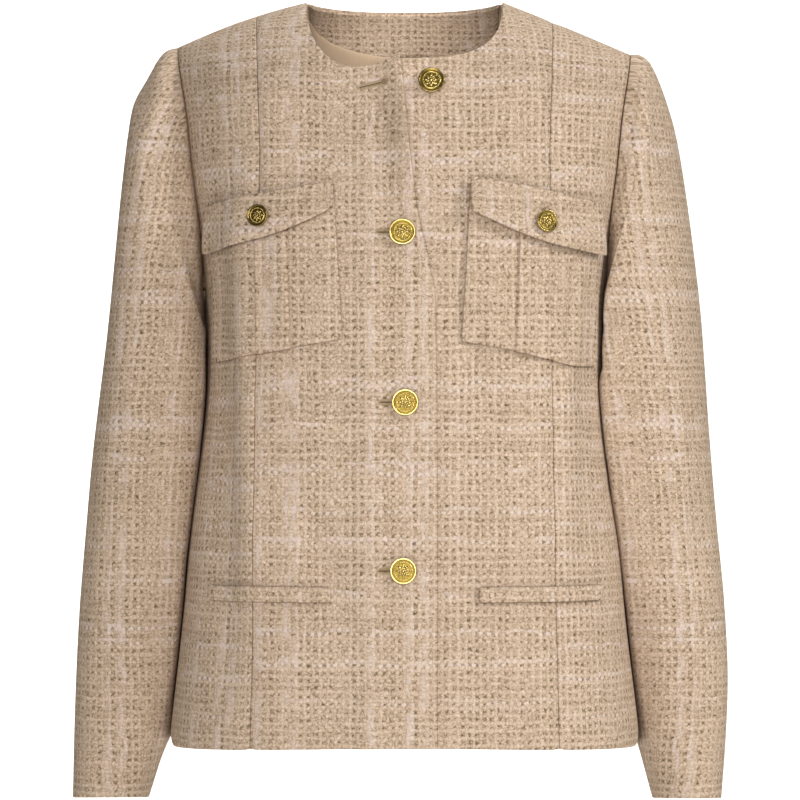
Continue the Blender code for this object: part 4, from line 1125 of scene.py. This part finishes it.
def clear_of_body(point):
    """Push a sleeve out until it hangs beside the body."""
    x, y, z = point[..., 0], point[..., 1], point[..., 2]
    half, ahead, behind, side_y = (smooth(BODY, column, z) for column in Level._fields[1:])
    off = y - side_y
    depth = np.where(off < 0, ahead + side_y, behind - side_y)
    power = by_face(off < 0, SECTION_POWER)
    share = np.minimum(np.abs(off) / depth, 1.0)
    beside = ease((-30 - y) / 25) * ease((z - POCKET_END) / 12)
    limit = half * (1 - share**power) ** (1 / power) + SLEEVE_CLEAR + POCKET_CLEAR * beside
    pushed = np.where(z > UNDERARM + 12, x, np.maximum(x, limit))
    return np.stack([pushed, y, z], axis=-1)


def sleeve_point(side, around, along):
    around, along = np.broadcast_arrays(np.asarray(around, float), np.asarray(along, float))
    point = plain_sleeve_point(side, around, along)
    weight = 1 - ease(along * (len(SLEEVES[side]) - 1) / SET_IN)
    to_armhole = armhole_loop(side, around) - plain_sleeve_point(side, around, 0 * along)
    point = point + to_armhole * weight[..., None]
    point[..., 0] += SLEEVE_STAND
    return clear_of_body(point) * np.array([side, 1, 1])


print("outer end of the left cuff", sleeve_point(1, [0.0], [1.0]).round(1))


# %% Relief of a sleeve
def sleeve_relief(side, around, along):
    """Creases, and the dips along the seams."""
    near = np.where(around > 180, around - 360, around)
    total = uneven(near * ARM_MM_PER_DEGREE, along * ARM_LENGTH, 2.0 + side)
    total = total + creased(ARM_CREASES[side], near, along, ARM_MM_PER_DEGREE, ARM_LENGTH)
    hind = np.minimum(around - (HIND_ARM_SEAM - 360), HIND_ARM_SEAM - around)
    dips = seam_sink(np.abs(near - FRONT_ARM_SEAM) * ARM_MM_PER_DEGREE)
    dips = dips + SEAM_SHARE * seam_sink(along * ARM_LENGTH) + seam_sink(hind * ARM_MM_PER_DEGREE)
    return np.minimum(total * ease(along * 12) + dips, CREASE_TOP)


def sleeve_grid(side, rows, columns, out):
    """Points of a sleeve, out millimetres off its form."""
    along = np.linspace(1, 0, rows)[:, None] + np.zeros((1, columns))
    around = np.linspace(HIND_ARM_SEAM - 360, HIND_ARM_SEAM, columns)[None, :] + 0 * along
    low, high = np.maximum(along - 0.008, 0.0), np.minimum(along + 0.008, 1.0)
    down = sleeve_point(side, around, high) - sleeve_point(side, around, low)
    round_it = sleeve_point(side, around + 3, along) - sleeve_point(side, around - 3, along)
    normal = unit(np.cross(round_it, down)) * side
    rise = out + sleeve_relief(side, around, along)
    points = sleeve_point(side, around, along) + normal * rise[..., None]
    return pull_in(points, SEAM_ROLL, SEAM_ROLL, SEAM_ROLL, 0.7)


def sleeve_threads(outer):
    """UV of a sleeve: across is the level way round it from its outer side, and up is the way
    along that side."""
    columns = outer.shape[1]
    middle = columns * int(360 - HIND_ARM_SEAM) // 360
    z = outer[..., 2]
    levels = np.linspace(z.min(), z.max(), 220)
    section = np.array([[np.interp(levels, z[:, c], outer[:, c, k]) for k in (0, 1)]
                        for c in range(columns)])
    steps = np.linalg.norm(np.diff(section, axis=0), axis=1)
    run = np.concatenate([0 * steps[:1], np.cumsum(steps, axis=0)])
    run -= run[middle]
    across = np.stack([np.interp(z[:, c], levels, run[c]) for c in range(columns)], axis=1)
    line = outer[:, middle]
    climb = np.concatenate([[0], np.cumsum(np.linalg.norm(np.diff(line, axis=0), axis=-1))])
    up = np.interp(z, line[:, 2], climb) + np.minimum(z - line[0, 2], 0)
    return np.stack([across, up], axis=-1)


# %% Both sleeves
SLEEVE_SIZE = (130, 84)         # rows and columns
for side, name in SIDES:
    outer, inner = (sleeve_grid(side, *SLEEVE_SIZE, out) for out in (0.0, -WALL))
    panel(f"sleeve_{name}", outer, inner, sleeve_threads(outer), [tweeds["sleeves"], satin],
          flip=side > 0, inside=faced(outer),
          nodes=[f"sleeve_upper_{name}", f"sleeve_under_{name}"])

# %% [markdown]
# ## Pockets
# The chest pockets are patches with a box pleat down the middle, under a flap whose lower
# edge slopes and stands off the patch.  They lie on the fronts, so they are made from the
# body's own points, moved out.  The welts lower down are narrow folded strips over the slit
# of an inside pocket.

# %% Pocket sizes
Across = namedtuple("Across", "x flap_top flap_edge pocket_top pocket_edge")
POCKETS = {
    -1: [
        Across(51.0, -108.5, -130.0, -116.0, -229.0),
        Across(70.0, -111.0, -139.0, -119.0, -232.5),
        Across(90.0, -114.0, -147.0, -122.0, -236.0),
        Across(112.0, -117.5, -153.5, -125.0, -240.0),
        Across(132.0, -120.5, -158.0, -128.5, -244.0),
        Across(152.0, -124.0, -162.0, -132.0, -247.0),
    ],
    1: [
        Across(47.0, -104.0, -132.0, -112.0, -231.0),
        Across(66.0, -107.0, -140.5, -115.0, -234.5),
        Across(86.0, -110.5, -149.0, -118.5, -238.0),
        Across(108.0, -114.5, -156.0, -122.5, -243.5),
        Across(128.0, -118.5, -160.0, -126.5, -249.5),
        Across(149.0, -122.5, -163.0, -130.5, -250.0),
    ],
}
POCKET_LEAN = 7.0               # from bottom to top, the inner edge leans outwards so far
POCKET_GAP = 1.3                # under a pocket or a welt
POCKET_WALL = 1.8
PLEAT_HALF = 11.5               # half the width of the box pleat
PLEAT_HEIGHT = 1.6
FLAP_WALL = 2.2
FLAP_STAND = 3.6                # rise of a flap's lower edge
PATCH_CREASES = 0.7             # share of the body's creases that show on pocket and flap
POCKET_SIZE = (46, 50)          # rows and columns
FLAP_SIZE = (22, 50)
FOLD_STEPS = (-1.8, -1.0, -0.5, -0.15, 0.15, 0.5, 1.0, 1.8)     # columns beside a fold
WELT_X = (57.0, 152.0)          # its two ends
WELT_TOP = -420.0
WELT_HEIGHT = 12.0
WELT_WALL = 2.0
PUFF = 0.5                      # a flap and a welt stand up in the middle by this much
print("pockets", POCKETS[1][-1].x - POCKETS[1][0].x, "mm wide")


# %% Patches
def patch_columns(inner_x, outer_x, count, folds):
    """Places across a patch: even steps, and close ones beside each pressed fold."""
    close = [fold + step for fold in folds for step in FOLD_STEPS]
    even = [x for x in np.linspace(inner_x, outer_x, count)
            if all(abs(x - fold) > 2.4 for fold in folds)]
    return np.sort(even + close)


def edged(turn, z, face, back, rim, fine):
    """Outer and inner grid of a piece that lies on the body, drawn in for its rim."""
    return (pull_in(body_point(turn, z, out, fine), *[rim] * 4) for out in (face, back))


def patch(side, name, low, high, size, thickness, leans, under, raised, finish, folds=()):
    """A cloth patch over a front, between two edges of the pocket's table.  folds says where
    its pressed folds run, from its middle."""
    table = POCKETS[side]
    inner_x, outer_x = table[0].x, table[-1].x
    middle = (inner_x + outer_x) / 2
    rows, columns = size
    x = patch_columns(inner_x, outer_x, columns, [middle + fold for fold in folds])[None, :]
    share = np.linspace(0, 1, rows)[:, None]
    z = mix(smooth(table, low, x, "x"), smooth(table, high, x, "x"), share)
    lean = POCKET_LEAN * (outer_x - x) / (outer_x - inner_x) * leans(share)
    turn = turn_at(side * (x + lean), z)
    back = under(share) + 0 * x
    face = back + thickness + raised(share, x - middle)
    outer, inner = edged(turn, z, face, back, thickness / 2, PATCH_CREASES)
    panel(name, outer, inner, thread_map(turn, z, outer, 0.0), [finish], flip=side < 0)


# %% Pockets and flaps
def pleat_lines(share, off):
    """Rise of the box pleat, with the roll of its two folds and a groove beside each."""
    past = np.abs(off) - PLEAT_HALF
    fold = ease((0.4 - past) / 0.8)
    crisp = 0.4 * np.exp(-(((past + 1.4) / 1.4) ** 2)) - 0.5 * np.exp(-(((past - 0.7) / 0.6) ** 2))
    drawn_down = 0.35 * np.exp(-((share / 0.03) ** 2))      # along the sewn lower edge
    return PLEAT_HEIGHT * fold + crisp - drawn_down


FLAP_BASE = POCKET_GAP + POCKET_WALL + PLEAT_HEIGHT + GAP
for side, name in SIDES:
    patch(side, f"chest_pocket_{name}", "pocket_edge", "pocket_top", POCKET_SIZE, POCKET_WALL,
          lambda share: share - 0.5, lambda share: POCKET_GAP + 0 * share, pleat_lines,
          tweeds["pockets"], (-PLEAT_HALF, PLEAT_HALF))
    patch(side, f"flap_{name}", "flap_edge", "flap_top", FLAP_SIZE, FLAP_WALL,
          lambda share: 0.5, lambda share: FLAP_BASE + FLAP_STAND * ease(1 - share),
          lambda share, off: PUFF * np.sin(math.pi * share) + 0 * off, tweeds["flaps"])

# %% Welts
for side, name in SIDES:
    x = np.linspace(*WELT_X, 40)[None, :]
    share = np.linspace(0, 1, 9)[:, None]
    z = mix(WELT_TOP - WELT_HEIGHT, WELT_TOP, share) + 0 * x
    turn = turn_at(side * x, z)
    face = POCKET_GAP + WELT_WALL + PUFF * np.sin(math.pi * share) + 0 * x
    outer, inner = edged(turn, z, face, POCKET_GAP + 0 * x, WELT_WALL / 2, 1.0)
    uv = thread_map(turn, z, outer, 0.0)[..., ::-1].copy()      # its threads run along it
    panel(f"welt_{name}", outer, inner, uv, [tweeds["flaps"]], flip=side < 0)

# %% [markdown]
# ## Facing and lining
# Inside the back neck a band of tweed faces the edge, and below it hangs the satin lining,
# loose by a millimetre or so, with a pleat down its middle for ease.


# %% Below the back's top edge
FACING_WALL = 1.4
LINING_WALL = 1.0
LINING_GAP = 1.4                # between the back and its lining
FACING_DEPTH = 46.0
FACING_CUT = 9.0                # the facing is so much shorter at its right end
LINING_PLACE = 12.6             # the lining ends just short of the side seams,
LINING_DEPTH = 556.0            # and this far below the top edge
LINING_TUCK = 4.0               # its top is tucked under the facing
INSIDE_CREASES = 0.4            # share of the body's creases that show inside


def back_slice(top, bottom, rows, columns, half):
    """Ways round and heights of part of the back, between two depths below its top edge.
    Each depth is a function of the column's place along that edge."""
    place = np.linspace(-half, half, columns)
    round_it, z = back_columns(place, 200)
    points = back_point(round_it, z, -WALL, INSIDE_CREASES)
    steps = np.linalg.norm(np.diff(points, axis=0), axis=-1)
    depth = np.concatenate([steps[::-1].cumsum(axis=0)[::-1], 0 * steps[:1]])
    out = np.empty((2, rows, columns))
    for column, at in enumerate(place):
        want = np.linspace(bottom(at), top(at), rows)
        for k, values in enumerate((round_it, z)):
            out[k, :, column] = np.interp(-want, -depth[:, column], values[:, column])
    return out


def behind_back(name, round_it, z, face, thickness, rim, finish):
    """A sheet inside the back, between two distances from the form."""
    outer, inner = (pull_in(back_point(round_it, z, out, INSIDE_CREASES), *rim)
                    for out in (face, face - thickness))
    panel(name, outer, inner, back_threads(round_it, z, outer), [finish], flip=True)


# %% Neck facing
def facing_edge(at):
    """Depth of the facing's lower edge.  It is cut a little shorter to the right."""
    return FACING_DEPTH - FACING_CUT * min(max(at, -NECK_PLACE) / NECK_PLACE, 0.0) ** 2


round_it, z = back_slice(lambda at: 0.0, facing_edge, 14, 41, NECK_PLACE)
behind_back("neck_facing", round_it, z, -WALL - GAP, FACING_WALL, (1.0, 1.0, 0.7, 0.9),
            tweeds["back"])


# %% Back lining
def lining_pleat(round_it):
    """The lining's middle pleat: a narrow fold that lies to one side."""
    off = (round_it - 180) * MM_PER_DEGREE
    return -1.3 * ease((off + 9) / 2.5) * ease((9 - off) / 9)


round_it, z = back_slice(lambda at: facing_edge(at) - LINING_TUCK, lambda at: LINING_DEPTH,
                         90, 101, LINING_PLACE)
behind_back("back_lining", round_it, z, lining_pleat(round_it) - WALL - LINING_GAP, LINING_WALL,
            (3.0, 3.0, 0.5, 0.5), satin)

# %% [markdown]
# ## Buttons
# The buttons are stamped brass shells with a rope rim round a low dome.  Each starts as a
# cylinder: its face is inset and pushed in for the groove, inset again and drawn up for the
# dome, and its edges are bevelled.  A ring of slanting beads makes the rope, and a rosette of
# leaves fills the middle.  The six are copies of two sizes, each turned to face the way that
# the cloth under it faces.

# %% Brass
def brass_finish(name, colour, worn_colour, low, high):
    """Brass, brighter where it is rubbed, and rougher in patches of tarnish."""
    metal, shader = new_material(name, Metallic=1.0)
    place = add(metal, "ShaderNodeTexCoord")
    tarnish = add(metal, NOISE, {"Vector": place.outputs["Object"], "Scale": 420.0, "Detail": 3.0})
    two_tone(metal, shader, tarnish, colour, worn_colour)
    rough = add(metal, "ShaderNodeMapRange", {0: tarnish, 3: low, 4: high})
    feed(shader, Roughness=rough.outputs[0])
    return metal


# Stamped and polished brass: warm bright edges that flash as the view moves.  In the hollows
# it is tarnished: dull and olive, so that the relief reads from afar.
brass = brass_finish("stamped_brass", "9B854A", "C4AC6E", 0.19, 0.32)
dark_brass = brass_finish("tarnished_brass", "584818", "877230", 0.30, 0.50)
print("finishes", brass.name, dark_brass.name)


# %% Selecting and copying
def select_faces(piece, test):
    """In object mode, select only the faces whose centre and normal pass a test."""
    bpy.ops.object.mode_set(mode="EDIT")
    bpy.ops.mesh.select_mode(type="FACE")
    bpy.ops.mesh.select_all(action="DESELECT")
    bpy.ops.object.mode_set(mode="OBJECT")
    for face in piece.data.polygons:
        face.select = test(face.center / MM, face.normal)
    bpy.ops.object.mode_set(mode="EDIT")


def only(piece):
    bpy.ops.object.select_all(action="DESELECT")
    piece.select_set(True)
    bpy.context.view_layer.objects.active = piece


def copied(model, name, place):
    """A copy of a model with a mesh of its own, moved to its place by a matrix."""
    piece = model.copy()
    piece.data = model.data.copy()
    piece.name = name
    bpy.context.scene.collection.objects.link(piece)
    piece.data.transform(place)
    return piece


def joined(pieces, name):
    """Join pieces to the first one."""
    only(pieces[0])
    for piece in pieces:
        piece.select_set(True)
    bpy.ops.object.join()
    pieces[0].name = name
    return pieces[0]


# %% A plain button
SHELL_DEPTH = 1.9
SHELL_MIDDLE = 1.35             # above the back of the button
GROOVE = 0.75                   # depth of the groove inside the rim
# The rings of the face inside the groove: how far each rises, and its width as a share of the
# button's radius.
FACE_RINGS = ((0.0, 0.10), (0.35, 0.03), (0.0, 0.05), (-0.25, 0.03), (0.12, 0.30), (0.10, 0.20))


def button_model(radius):
    """A button that faces +Z, with its back at nought."""
    bpy.ops.object.select_all(action="DESELECT")
    bpy.ops.mesh.primitive_cylinder_add(vertices=56, radius=radius * MM, depth=SHELL_DEPTH * MM,
                                        location=(0, 0, SHELL_MIDDLE * MM))
    body = bpy.context.object
    bpy.ops.object.transform_apply(location=True)
    body.data.materials.append(brass)
    body.data.materials.append(dark_brass)
    select_faces(body, lambda centre, normal: normal.z > 0.9)
    bpy.ops.mesh.inset(thickness=0.11 * radius * MM)
    bpy.ops.mesh.inset(thickness=0.04 * radius * MM)
    bpy.ops.transform.translate(value=(0, 0, -GROOVE * MM))
    for rise, inset in FACE_RINGS:
        bpy.ops.mesh.inset(thickness=inset * radius * MM)
        bpy.ops.transform.translate(value=(0, 0, rise * MM))
    bpy.ops.object.mode_set(mode="OBJECT")
    select_faces(body, lambda centre, normal: normal.z < -0.9)
    bpy.ops.mesh.inset(thickness=0.14 * radius * MM)
    bpy.ops.transform.translate(value=(0, 0, -0.4 * MM))
    bpy.ops.mesh.inset(thickness=0.68 * radius * MM)
    bpy.ops.object.mode_set(mode="OBJECT")
    for face in body.data.polygons:     # the groove and the ground of the rosette are tarnished
        reach = face.center.to_2d().length / MM / radius
        hollow = 0.74 < reach < 0.85 or reach < 0.62
        face.material_index = int(face.center.z > 1.0 * MM and hollow)
    soften = body.modifiers.new("Soften", "BEVEL")
    soften.width = 0.22 * MM
    soften.segments = 3
    soften.limit_method = "ANGLE"
    soften.angle_limit = math.radians(38)
    only(body)
    bpy.ops.object.modifier_apply(modifier=soften.name)
    return body


# %% The relief of a button
ROPE_BEADS = 28
ROPE_REACH = 0.655              # from the middle, as a share of the radius
# The rosette's rows: how many leaves, and their reach, length and width as shares of the
# radius, and their height above the back.
LEAF_ROWS = ((8, 0.42, 0.165, 0.085, 1.86), (8, 0.27, 0.15, 0.075, 2.02))


def bead(name, sizes, place, turn, segments=12, rings=7):
    """A small rounded grain of the relief: its sizes and place in mm, and its turn in degrees."""
    bpy.ops.mesh.primitive_uv_sphere_add(segments=segments, ring_count=rings, radius=1.0)
    grain = bpy.context.object
    grain.name = name
    grain.scale = [size * MM for size in sizes]
    grain.location = [value * MM for value in place]
    grain.rotation_euler = [math.radians(value) for value in turn]
    grain.data.materials.append(brass)
    bpy.ops.object.transform_apply(location=True, rotation=True, scale=True)
    return grain


def button_relief(body, radius):
    """A rope ring and a rosette of leaves in two rows, raised on the button's face."""
    parts = [body]
    for k in range(ROPE_BEADS):
        angle = 2 * math.pi * k / ROPE_BEADS
        reach = ROPE_REACH * radius
        parts.append(bead("rope", (0.05 * radius, 0.085 * radius, 0.32), (
            reach * math.cos(angle), reach * math.sin(angle), 1.98),
            (0, 0, math.degrees(angle) + 40), 8, 5))
    for row, (count, reach, long, wide, rise) in enumerate(LEAF_ROWS):
        for k in range(count):
            angle = 2 * math.pi * (k + row / 2) / count
            parts.append(bead("leaf", (long * radius, wide * radius, 0.42), (
                reach * radius * math.cos(angle), reach * radius * math.sin(angle), rise),
                (0, 10, math.degrees(angle))))
    parts.append(bead("eye", (0.13 * radius, 0.13 * radius, 0.55), (0, 0, 2.12), (0, 0, 0), 16, 9))
    joined(parts, body.name)
    bpy.ops.object.shade_smooth_by_angle(angle=math.radians(42))
    return body


models = {radius: button_relief(button_model(radius), radius) for radius in (10.0, 8.5)}
print("faces of a button", len(models[10.0].data.polygons))


# %% The six buttons
def frame_at(point, normal):
    """Matrix that puts local +Z along a normal, and local +X level, at a point."""
    z_axis = Vector(normal).normalized()
    x_axis = Vector((0, 0, 1)).cross(z_axis).normalized()
    turn = Matrix((x_axis, z_axis.cross(x_axis), z_axis)).transposed().to_4x4()
    return Matrix.Translation(Vector(point) * MM) @ turn


Button = namedtuple("Button", "name x z radius stand shank")
FLAP_SHANK = 1.6
FLAP_FACE = FLAP_BASE + FLAP_WALL + FLAP_STAND + FLAP_SHANK
BUTTONS = [
    Button("button_chest", -1.8, -147.5, 10.0, 1.2, 1.6),
    Button("button_waist", 0.4, -277.5, 10.0, 1.2, 1.2),
    Button("button_low", -1.0, -407.5, 10.0, 1.2, 1.2),
    Button("button_top", 20.5, -29.5, 10.0, 3.6, 3.4),
    Button("button_flap_right", -108.0, -135.0, 8.5, FLAP_FACE, FLAP_SHANK),
    Button("button_flap_left", 104.5, -139.5, 8.5, FLAP_FACE, FLAP_SHANK),
]
FASTENED = BUTTONS[:3]          # they hold the right front, and so stand on it
button_frames = {}
for button in BUTTONS:
    turn = turn_at(button.x, button.z)
    lap = float(lap_out(button.x, button.z)) if button in FASTENED else 0.0
    point = body_point(turn, button.z, button.stand + lap, 0.0)
    button_frames[button.name] = frame_at(point, body_normal(turn, button.z))
    piece = copied(models[button.radius], f"brass_{button.name}", button_frames[button.name])
    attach(piece, "root")
    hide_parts(button.name)
    print(button.name, [round(float(v), 1) for v in point])
for model in models.values():
    bpy.data.objects.remove(model)

# %% [markdown]
# ## Buttonholes
# Each hole is a keyhole: a round eye for the shank, and a slit that runs off from it.  The
# cutter starts as a cylinder of sixteen sides, and the side that looks along the slit is
# extruded.  Close stitches of thick thread bind the cut edge.  One stitch is modelled and
# copied round every hole, and each copy is laid on the cloth with a ray.

# %% Places of the holes
EYELET_RADIUS = 2.4
CUTTER_SIDES = 16
HOLE_LENGTH = 19.0
Hole = namedtuple("Hole", "name x z slant")
HOLES = [Hole(button.name, button.x, button.z, 0.0) for button in FASTENED]
HOLES.append(Hole("button_top", -15.8, -31.5, 14.0))


def hole_frame(hole):
    """Matrix of a hole: its eye at the origin, the slit towards -X, and +Z out of the cloth."""
    at = [body_point(turn_at(x, hole.z), hole.z, float(lap_out(x, hole.z)))
          for x in (hole.x - 4, hole.x, hole.x + 4)]
    normal = np.cross(at[2] - at[0], (0, 0, 1))
    return frame_at(at[1], normal) @ Matrix.Rotation(math.radians(hole.slant), 4, "Z")


print("holes", [hole.name for hole in HOLES])

# %% Thread
# Spun and waxed thread: fine and a little glossy beside the dry wool.
thread, thread_shader = new_material("waxed_thread", Roughness=0.6, Sheen_Weight=0.2)
thread_place = add(thread, "ShaderNodeTexCoord")
thread_ply = add(thread, NOISE, {"Vector": thread_place.outputs["Object"], "Scale": 1800.0})
two_tone(thread, thread_shader, thread_ply, "86714E", "B49E76")
print("thread", len(thread.node_tree.nodes), "nodes")

# %% Stitches
STITCH_SIZE = (1.25, 0.40, 0.42)
STITCH_PAIRS = 19               # along the two sides of a slit,
STITCH_STEP = 0.86              # at this distance from each other
STITCH_REACH = 0.975            # from the cut edge to the middle of a stitch
RAY_START = 18.0                # in front of the cloth


def stitch_places():
    """Places and directions (degrees) of the stitches round a hole, in mm."""
    half = EYELET_RADIUS * math.sin(math.pi / CUTTER_SIDES)
    places = []
    for angle in range(-156, 157, 24):
        turn = math.radians(angle)
        places.append((EYELET_RADIUS * math.cos(turn), EYELET_RADIUS * math.sin(turn), angle))
    for k in range(STITCH_PAIRS):
        x = -EYELET_RADIUS - 0.6 - STITCH_STEP * k
        places += [(x, half, 90), (x, -half, -90)]
    return places + [(-HOLE_LENGTH, 0, 180), (-HOLE_LENGTH, 0.5, 150), (-HOLE_LENGTH, -0.5, -150)]


front = PIECES["cloth_front_right"]
bpy.ops.object.select_all(action="DESELECT")
bpy.ops.mesh.primitive_uv_sphere_add(segments=7, ring_count=5, radius=1.0)
one_stitch = bpy.context.object
one_stitch.scale = [size * MM for size in STITCH_SIZE]
bpy.ops.object.transform_apply(scale=True)
one_stitch.data.materials.append(thread)
bpy.ops.object.shade_smooth()
stitches = []
for hole in HOLES:
    place = hole_frame(hole)
    for x, y, angle in stitch_places():
        off = Vector((math.cos(math.radians(angle)), math.sin(math.radians(angle)), 0))
        start = place @ ((Vector((x, y, RAY_START)) + off * STITCH_REACH) * MM)
        hit, spot, normal, _ = front.ray_cast(start, place.to_3x3() @ Vector((0, 0, -1)))
        if hit:
            up = normal.normalized()
            side = up.cross(place.to_3x3() @ off).normalized()
            turned = Matrix((side.cross(up), side, up)).transposed().to_4x4()
            stitches.append(copied(one_stitch, "stitch", Matrix.Translation(spot) @ turned))
bpy.data.objects.remove(one_stitch)
print("stitches", len(stitches))
binding = joined(stitches, "buttonhole_stitches")
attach(binding, "root")


# %% Cutting the holes
def keyhole_cutter():
    """A round eye at the origin, with a slit that runs off towards -X."""
    bpy.ops.object.select_all(action="DESELECT")
    bpy.ops.mesh.primitive_cylinder_add(
        vertices=CUTTER_SIDES, radius=EYELET_RADIUS * MM, depth=30 * MM, location=(0, 0, 3 * MM),
        rotation=(0, 0, math.pi / CUTTER_SIDES))
    cutter = bpy.context.object
    bpy.ops.object.transform_apply(location=True, rotation=True)
    select_faces(cutter, lambda centre, normal: normal.x < -0.99)
    slit = ((EYELET_RADIUS - HOLE_LENGTH) * MM, 0, 0)
    bpy.ops.mesh.extrude_region_move(TRANSFORM_OT_translate={"value": slit})
    bpy.ops.object.mode_set(mode="OBJECT")
    return cutter


for hole in HOLES:
    cutter = keyhole_cutter()
    cutter.matrix_world = hole_frame(hole)
    cut = front.modifiers.new("Cut", "BOOLEAN")
    cut.operation = "DIFFERENCE"
    cut.object = cutter
    only(front)
    bpy.ops.object.modifier_apply(modifier=cut.name)
    bpy.data.objects.remove(cutter)
print("front with holes", len(front.data.polygons), "faces")

# %% [markdown]
# ## Thread shanks
# Every button stands off the cloth on a shank of thread, wound round and round.  It is a
# stack of rings, each a torus, as high as the gap under that button.

# %% Shanks
RING_RADIUS = 1.25
PLY_RADIUS = 0.26
RING_PITCH = 0.42
FIRST_RING = 0.35               # above the back of the button
bpy.ops.object.select_all(action="DESELECT")
bpy.ops.mesh.primitive_torus_add(major_segments=16, minor_segments=6,
                                 major_radius=RING_RADIUS * MM, minor_radius=PLY_RADIUS * MM)
one_ring = bpy.context.object
one_ring.data.materials.append(thread)
bpy.ops.object.shade_smooth()
for button in BUTTONS:
    count = int(button.shank / RING_PITCH) + 2
    heights = [(FIRST_RING - RING_PITCH * k) * MM for k in range(count)]
    rings = [copied(one_ring, "ring", Matrix.Translation((0, 0, height))) for height in heights]
    shank = joined(rings, f"thread_shank_{button.name}")
    shank.data.transform(button_frames[button.name])
    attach(shank, "root")
    print(shank.name, count, "turns")
bpy.data.objects.remove(one_ring)
